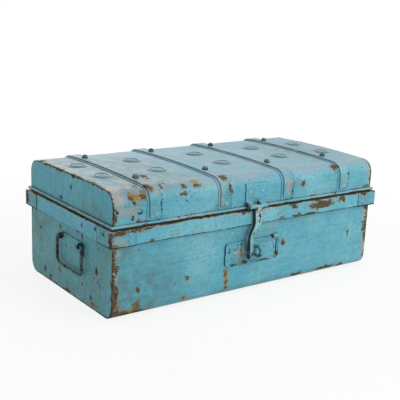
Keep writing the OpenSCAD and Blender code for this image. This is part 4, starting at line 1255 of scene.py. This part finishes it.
@dataclass
class Lid:
    """The crowned lid with its ends, bead, straps, studs and rosettes."""

    half_length: float = 0.380
    half_depth: float = 0.194
    foot: float = 0.199
    height: float = 0.082
    edge_radius: float = 0.031
    rib_half: float = 0.0145
    rib_foot: float = 0.216
    rib_corner: float = 0.006
    end_step: float = 0.002
    bead_head: float = 0.008
    bead_foot: float = 0.002
    shade_rise: float = 0.040
    shade_reach: Triple = (0.004, 0.030, 0.056)
    marks: Tuple[Mark, ...] = (
        *blots(
            Wear.PRIMER,
            (-366, -190, 262, 18, 20, 26), (-364, -194, 236, 14, 14, 22, 0.8),
            (-373, 118, 279, 14, 40, 12, 0.8), (-366, -160, 277, 26, 36, 20),
            (-310, -122, 279, 36, 40, 12, 0.7), (-358, 30, 281, 18, 60, 12, 0.7),
            (-275, -140, 279, 50, 56, 16, 0.6), (-340, -194, 236, 44, 20, 34, 0.55),
            (-362, 77, 280, 16, 26, 12, 0.9), (336, 186, 264, 44, 30, 26, 0.6),
        ),
        *blots(
            Wear.OCHRE,
            (-336, -188, 264, 10, 14, 12), (-321, -190, 260, 12, 16, 14), (-305, -188, 264, 10, 14, 11),
            (-308, -160, 277, 11, 11, 10, 0.8), (-166, -171, 276, 13, 9, 7), (-162, -185, 268, 14, 10, 6),
            (366, -194, 211, 20, 12, 7), (251, -182, 270, 12, 16, 12, 0.9),
            (-323, -194, 250, 4, 10, 7, 0.8), (196, 188, 262, 16, 12, 9), (-326, 190, 256, 12, 12, 14),
        ),
        *blots(
            Wear.RUST,
            (-307, -190, 262, 6, 10, 6), (-337, -190, 260, 6, 10, 6), (-166, -183, 269, 12, 6, 5),
            (-256, -173, 275, 6, 14, 10), (-241, -160, 277, 5, 12, 8, 0.8), (-376, -194, 223, 6, 10, 10),
            (-333, -194, 220, 4, 10, 7), (-200, -181, 271, 10, 8, 7), (-205, -192, 257, 12, 10, 5),
            (142, -194, 241, 8, 10, 7), (252, -183, 270, 8, 12, 9), (-198, -194, 242, 4, 10, 4),
            (-380, -110, 279, 10, 42, 12), (-250, -95, 280, 12, 14, 10), (-251, -115, 279, 12, 6, 8, 0.8),
            (-319, -194, 210, 5, 10, 6), (-371, 148, 278, 10, 20, 10, 0.8), (-204, 186, 264, 14, 12, 8),
            (34, 194, 236, 7, 10, 7), (140, 180, 271, 9, 10, 7),
        ),
        *blots(
            Wear.GRIME,
            (-330, -194, 248, 5, 10, 4), (-375, -194, 241, 4, 10, 4), (-371, -194, 236, 4, 10, 4),
            (-316, -194, 229, 6, 10, 4),
        ),
        *blots(Wear.STAIN, (-60, 194, 240, 300, 50, 40, 0.7)),
    )
    top_stains: Tuple[Mark, ...] = (
        *blots(
            Wear.STAIN,
            (-335, -20, 280, 90, 240, 40, 1.4), (-230, -120, 278, 140, 90, 40),
            (-235, 10, 281, 100, 170, 40, 1.2), (270, 0, 280, 150, 240, 40, 0.8),
        ),
    )
    end_marks: Tuple[Mark, ...] = (
        *blots(
            Wear.GRIME,
            (-380, -11, 251, 10, 6, 6), (-380, 37, 217, 10, 5, 5), (380, 40, 240, 10, 6, 6),
        ),
        *blots(Wear.STAIN, (-380, -130, 210, 60, 110, 50), (380, 110, 220, 60, 120, 50, 0.8)),
        *blots(Wear.RUST, (380, -82, 228, 10, 7, 9)),
    )
    strap_marks: Tuple[Mark, ...] = (
        *blots(
            Wear.RUST,
            (-289, -174, 279, 9, 12, 9), (-91, -178, 276, 12, 13, 9), (-83, -194, 256, 3, 12, 13),
            (258, -184, 272, 9, 12, 8),
        ),
        *blots(Wear.OCHRE, (-286, -182, 272, 9, 14, 10, 0.8)),
        *blots(
            Wear.PRIMER,
            (-110, -196, 236, 7, 20, 40, 0.9), (-276, -186, 268, 24, 24, 20, 0.6),
            (93, -197, 246, 20, 24, 36, 0.65), (280, -198, 240, 16, 20, 34, 0.55),
        ),
        *blots(Wear.STAIN, (-88, -197, 240, 22, 24, 44, 0.9), (98, -197, 240, 22, 24, 44, 0.8)),
    )

    def dress(self, dresser: Dresser) -> None:
        """Paints the lid and all that sits on it.

        Args:
            dresser: Where finishes are put on.
        """
        self._sheets(dresser)
        self._beads(dresser)
        self._straps(dresser)
        self._ornaments(dresser)

    def _sheets(self, dresser: Dresser) -> None:
        """Paints the wrap and the ends.

        Args:
            dresser: Where finishes are put on.
        """
        middle = (0.0, 0.0, self.foot)
        outline = {
            "centre": (0.0, self.foot),
            "half": (self.half_depth, self.height - self.end_step),
            "corner": self.edge_radius,
        }
        bead = self.foot + self.bead_head
        dresser.dress(
            ["lid_wrap"],
            PaintFinish(
                "Lid paint", *TRUNK_PAINT,
                dust=0.70, dirt_and_shade=0.12, patina=0.62, drift=1.8, marks=self.marks + self.top_stains,
                edges=(
                    WornEdge(EdgeKind.ENDS, 0.015, at=self.half_length, keep=0.435),
                    WornEdge(EdgeKind.FOOT, 0.010, at=bead),
                    WornEdge(EdgeKind.FOOT, 0.012, at=bead, keep=0.47, wear=Wear.PRIMER),
                    WornEdge(EdgeKind.ENDS, 0.034, at=self.half_length, keep=0.43, wear=Wear.PRIMER),
                    WornEdge(EdgeKind.ENDS, 0.030, at=self.half_length, keep=0.50, wear=Wear.OCHRE),
                    WornEdge(EdgeKind.ENDS, 0.007, at=self.half_length, keep=0.41, wear=Wear.GRIME),
                ),
                middle=middle,
            ),
        )
        dresser.dress(
            ["lid_end_left", "lid_end_right"],
            PaintFinish(
                "Lid end paint", Tone(78, 170, 188), Tone(102, 184, 198), Tone(48, 106, 116),
                brush=Brush.DOWN, strokes=0.42, drift=1.6, patina=0.25, flecks=0.4, marks=self.end_marks,
                edges=(
                    WornEdge(EdgeKind.END_OUTLINE, 0.014, keep=0.47, **outline),
                    WornEdge(EdgeKind.END_OUTLINE, 0.007, keep=0.42, wear=Wear.GRIME, **outline),
                ),
                middle=middle,
            ),
        )

    def _beads(self, dresser: Dresser) -> None:
        """Paints the wired edge, rubbed pale on the left.

        Args:
            dresser: Where finishes are put on.
        """
        worn = tuple(
            WornEdge(EdgeKind.FOOT, 0.010, at=self.foot + self.bead_foot, keep=keep, wear=wear)
            for keep, wear in ((0.41, Wear.PRIMER), (0.435, Wear.RUST), (0.48, Wear.OCHRE))
        )
        bead = PaintFinish(
            "Bead paint", *TRUNK_PAINT, dust=0.3, chips=0.8, dirt_and_shade=1.0, edges=worn
        )
        dresser.dress([f"lid_bead_{side}" for side in ("front", "back", "right")], bead)
        pale_bead = PaintFinish(
            "Rubbed bead paint", Tone(108, 160, 168), Tone(150, 182, 184), Tone(70, 98, 100),
            dust=0.4, chips=0.8, dirt_and_shade=1.0, edges=worn,
        )
        dresser.dress(["lid_bead_left"], pale_bead)

    def _straps(self, dresser: Dresser) -> None:
        """Paints the straps, with a stain and painted shade along the rib of each, painted shade on the
        front beside the rib's far side, and their rivets.

        Args:
            dresser: Where finishes are put on.
        """
        for count in (1, 2, 3, 4):
            name = f"lid_strap_{count}"
            low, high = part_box(name)
            middle_x = (low[0] + high[0]) / 2.0
            ribbed = {
                "centre": (middle_x, self.rib_foot + self.height),
                "half": (self.rib_half, self.height),
                "corner": self.rib_corner,
            }
            # A soot stain along the rib's outline, which also stands in as painted shade on the rib's walls
            rib_stain_and_shade = WornEdge(EdgeKind.FRONT_OUTLINE, 0.004, keep=0.34, wear=Wear.STAIN, **ribbed)
            rubbed = WornEdge(EdgeKind.FRONT_OUTLINE, 0.006, keep=0.48, wear=Wear.PRIMER, **ribbed)
            # Painted shade on the front, beside the rib's far side
            far_side = (middle_x + self.rib_half, -self.half_depth, self.foot + self.shade_rise)
            shade = Mark(Wear.GRIME, far_side, self.shade_reach, 0.55)
            strap = PaintFinish(
                f"Strap {count} paint", *TRUNK_PAINT, brush=Brush.ACROSS,
                dust=0.7, dirt_and_shade=0.1, chips=0.45, patina=0.6, drift=1.8,
                marks=self.strap_marks + self.top_stains + (shade,), edges=(rib_stain_and_shade, rubbed),
            )
            dresser.dress([name], strap)
        rivets = PaintFinish(
            "Strap rivet paint", Tone(126, 178, 190), Tone(160, 196, 204), PAINT_DEEP, chips=0.5
        )
        dresser.dress(["strap_rivets"], rivets)

    def _ornaments(self, dresser: Dresser) -> None:
        """Paints the studs and the rosettes.

        Args:
            dresser: Where finishes are put on.
        """
        studs = PaintFinish(
            "Stud paint", Tone(50, 86, 92), Tone(82, 132, 140), Tone(26, 42, 44),
            chips=0.9, dirt_and_shade=1.6, flecks=1.3,
        )
        dresser.dress(["lid_studs"], studs)
        rosette = PaintFinish(
            "Rosette paint", Tone(86, 150, 166), Tone(112, 170, 180), Tone(54, 98, 104),
            dust=0.75, dirt_and_shade=2.2, chips=0.7, patina=0.6, flecks=0.7,
        )
        dresser.dress(["lid_rosettes"], rosette)


@dataclass
class Hasp:
    """The swinging hasp, its leaf on the lid and its pin."""

    leaf_centre: Tuple[float, float] = (-0.005, 0.2375)
    leaf_half: Tuple[float, float] = (0.0305, 0.0225)
    leaf_corner: float = 0.001
    rounding: float = 0.0010
    leaf_marks: Tuple[Mark, ...] = (
        *blots(Wear.RUST, (-36, -205, 210, 6, 12, 8)),
        *blots(Wear.GRIME, (-20, -207, 204, 8, 10, 3)),
        *blots(Wear.STAIN, (-5, -198, 222, 30, 12, 10, 0.8)),
    )
    strap_marks: Tuple[Mark, ...] = (
        *blots(Wear.RUST, (-14, -212, 206, 4, 14, 10, 0.8)),
        *blots(
            Wear.GRIME,
            (-9, -208, 217, 12, 14, 4, 0.8), (-4, -214, 186, 2.5, 14, 20, 0.9),
            (-23, -214, 96, 6, 14, 10, 0.7),
        ),
        *blots(Wear.PRIMER, (-9, -214, 196, 10, 14, 18, 0.6)),
        *blots(Wear.STAIN, (-18, -214, 110, 14, 14, 34)),
    )

    def dress(self, dresser: Dresser) -> None:
        """Paints the hasp.

        Args:
            dresser: Where finishes are put on.
        """
        edges = (
            WornEdge(
                EdgeKind.FRONT_OUTLINE, 0.004, keep=0.36, wear=Wear.STAIN,
                centre=self.leaf_centre, half=self.leaf_half, corner=self.leaf_corner,
            ),
        )
        leaf = PaintFinish(
            "Hasp leaf paint", *TRUNK_PAINT,
            dirt_and_shade=0.8, chips=0.5, left_shade=0.3, patina=0.6, drift=1.6, marks=self.leaf_marks, edges=edges,
        )
        dresser.dress(["hasp_leaf"], leaf)
        # The pale tones of the hasp rivets are partly their own pale paint and partly a painted highlight
        # on their domes
        rivets = PaintFinish(
            "Hasp rivet paint and painted highlight", Tone(128, 176, 194), Tone(170, 194, 208), PAINT_DEEP, chips=0.4
        )
        dresser.dress(["hasp_leaf_rivets"], rivets)
        strap = PaintFinish(
            "Hasp paint", Tone(112, 176, 188), Tone(166, 204, 206), PAINT_DEEP,
            brush=Brush.DOWN, strokes=0.6, dirt_and_shade=1.0, chips=0.7, left_shade=0.95, flecks=1.1,
            marks=self.strap_marks,
        )
        dresser.dress(["hasp"], strap, bevel=self.rounding)
        dresser.dress(["hasp_pin"], IronFinish("Hasp pin iron", painted=0.5))


@dataclass(frozen=True)
class PhotoCamera:
    """The camera, standing where the photograph was taken from."""

    place: Triple = (-1.1653, -1.5380, 0.6735)
    azimuth: float = -36.71
    elevation: float = 14.55
    roll: float = 2.42
    lens: float = 71.80
    sensor: float = 36.0
    sight: float = 60.0

    def stand(self) -> None:
        """Makes the camera and hands it to the scene."""
        turn, lift, tilt = (math.radians(angle) for angle in (self.azimuth, self.elevation, self.roll))
        back = Vector((math.sin(turn) * math.cos(lift), -math.cos(turn) * math.cos(lift), math.sin(lift)))
        level = Vector((math.cos(turn), math.sin(turn), 0.0))
        upright = back.cross(level)
        right = math.cos(tilt) * level + math.sin(tilt) * upright
        up = math.cos(tilt) * upright - math.sin(tilt) * level
        data = bpy.data.cameras.new("Photo camera")
        data.lens = self.lens
        data.sensor_width = self.sensor
        data.clip_end = self.sight
        camera = bpy.data.objects.new("Photo camera", data)
        bpy.context.scene.collection.objects.link(camera)
        pose = Matrix((right, up, back)).transposed().to_4x4()
        pose.translation = Vector(self.place)
        camera.matrix_world = pose
        bpy.context.scene.camera = camera


@dataclass(frozen=True)
class Lamp:
    """A soft square lamp that points at the trunk."""

    name: str
    place: Triple
    size: float
    power: float
    aim: Triple = (0.0, 0.0, 0.14)

    def hang(self) -> None:
        """Makes the lamp."""
        data = bpy.data.lights.new(self.name, "AREA")
        data.shape = "SQUARE"
        data.size = self.size
        data.energy = self.power
        lamp = bpy.data.objects.new(self.name, data)
        bpy.context.scene.collection.objects.link(lamp)
        lamp.location = self.place
        away = Vector(self.aim) - Vector(self.place)
        lamp.rotation_euler = away.to_track_quat("-Z", "Y").to_euler()


@dataclass
class Studio:
    """Pale floor, white surroundings and soft lamps."""

    floor_radius: float = 9.0
    floor_sides: int = 96
    floor_drop: float = 0.0006
    floor_grey: float = 0.8
    fade_from: float = 0.55
    fade_to: float = 1.25
    veil: float = 0.85
    ambient: float = 0.42
    lamps: List[Lamp] = field(
        default_factory=lambda: [
            Lamp("Key lamp", (1.3, -2.6, 1.8), 2.2, 57.0),
            Lamp("Top lamp", (0.1, -0.2, 3.2), 2.6, 36.0),
            Lamp("Back lamp", (0.6, 3.0, 1.8), 2.2, 24.0),
        ]
    )

    def build(self) -> None:
        """Makes the floor, the surroundings and the lamps."""
        self._floor()
        self._world()
        for lamp in self.lamps:
            lamp.hang()
        bpy.context.scene.view_settings.view_transform = "Standard"

    def _floor(self) -> None:
        """Makes a round floor that fades to plain white away from the trunk."""
        mesh = bpy.data.meshes.new("Floor")
        made = bmesh.new()
        bmesh.ops.create_circle(made, cap_ends=True, segments=self.floor_sides, radius=self.floor_radius)
        made.to_mesh(mesh)
        made.free()
        floor = bpy.data.objects.new("Floor", mesh)
        bpy.context.scene.collection.objects.link(floor)
        floor.location.z = -self.floor_drop
        mesh.materials.append(self._floor_paint())

    def _floor_paint(self) -> bpy.types.Material:
        """Makes the floor's material.

        Returns:
            The material.
        """
        made, sketch, shader = open_material("Floor white")
        shader.inputs["Base Color"].default_value = (self.floor_grey,) * 3 + (1.0,)
        shader.inputs["Roughness"].default_value = 1.0
        shader.inputs["Specular IOR Level"].default_value = 0.0
        place = sketch.add("ShaderNodeTexCoord").outputs["Object"]
        away = sketch.fade(sketch.vector("LENGTH", place), self.fade_from, self.fade_to)
        white = sketch.plus(sketch.times(away, 1.0 - self.veil), self.veil)
        glow = sketch.add("ShaderNodeEmission")
        glow.inputs["Color"].default_value = WHITE
        both = sketch.add("ShaderNodeMixShader")
        sketch.feed(both.inputs[0], sketch.times(white, self._seen(sketch)))
        sketch.feed(both.inputs[1], shader.outputs[0])
        sketch.feed(both.inputs[2], glow.outputs[0])
        sketch.feed(made.node_tree.nodes["Material Output"].inputs["Surface"], both.outputs[0])
        return made

    @staticmethod
    def _seen(sketch: Sketch) -> Socket:
        """Tells the rays that show the surroundings from those that only carry light.

        Args:
            sketch: The material's sketch.

        Returns:
            One for what the eye sees straight, mirrored or through glass, and zero for the rest.
        """
        path = sketch.add("ShaderNodeLightPath").outputs
        mirrored = sketch.maths("MAXIMUM", path["Is Camera Ray"], path["Is Glossy Ray"])
        return sketch.maths("MAXIMUM", mirrored, path["Is Transmission Ray"])

    def _world(self) -> None:
        """Makes surroundings that are white to the eye and softer as light."""
        world = bpy.data.worlds.new("Studio")
        bpy.context.scene.world = world
        world.use_nodes = True
        sketch = Sketch(world.node_tree)
        soft = world.node_tree.nodes["Background"]
        soft.inputs["Color"].default_value = WHITE
        soft.inputs["Strength"].default_value = self.ambient
        white = sketch.add("ShaderNodeBackground")
        white.inputs["Color"].default_value = WHITE
        white.inputs["Strength"].default_value = 1.0
        both = sketch.add("ShaderNodeMixShader")
        sketch.feed(both.inputs[0], self._seen(sketch))
        sketch.feed(both.inputs[1], soft.outputs[0])
        sketch.feed(both.inputs[2], white.outputs[0])
        sketch.feed(world.node_tree.nodes["World Output"].inputs["Surface"], both.outputs[0])


@dataclass
class Footlocker:
    """The whole trunk as its sub-assemblies."""

    body: Body = field(default_factory=Body)
    collar: Collar = field(default_factory=Collar)
    lock: LockSet = field(default_factory=LockSet)
    handles: Handles = field(default_factory=Handles)
    hinges: Hinges = field(default_factory=Hinges)
    lid: Lid = field(default_factory=Lid)
    hasp: Hasp = field(default_factory=Hasp)

    def dress(self, dresser: Dresser) -> None:
        """Dresses every sub-assembly.

        Args:
            dresser: Where finishes are put on.
        """
        for part in (self.body, self.collar, self.lock, self.handles, self.hinges, self.lid, self.hasp):
            part.dress(dresser)
        if dresser.bare:
            raise ValueError(f"pieces without a finish: {sorted(dresser.bare)}")


def clear_startup() -> None:
    """Removes the objects that Blender's own start file brings."""
    for name in ("Cube", "Light", "Camera"):
        found = bpy.data.objects.get(name)
        if found is not None:
            bpy.data.objects.remove(found, do_unlink=True)


def main() -> None:
    """Builds the picture."""
    logging.basicConfig(level=logging.INFO, format="%(name)s: %(message)s")
    clear_startup()
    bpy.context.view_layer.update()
    PhotoCamera().stand()
    Studio().build()
    Footlocker().dress(Dresser(frame["nodes"], SharedEffects()))


if __name__ == "__main__":
    main()
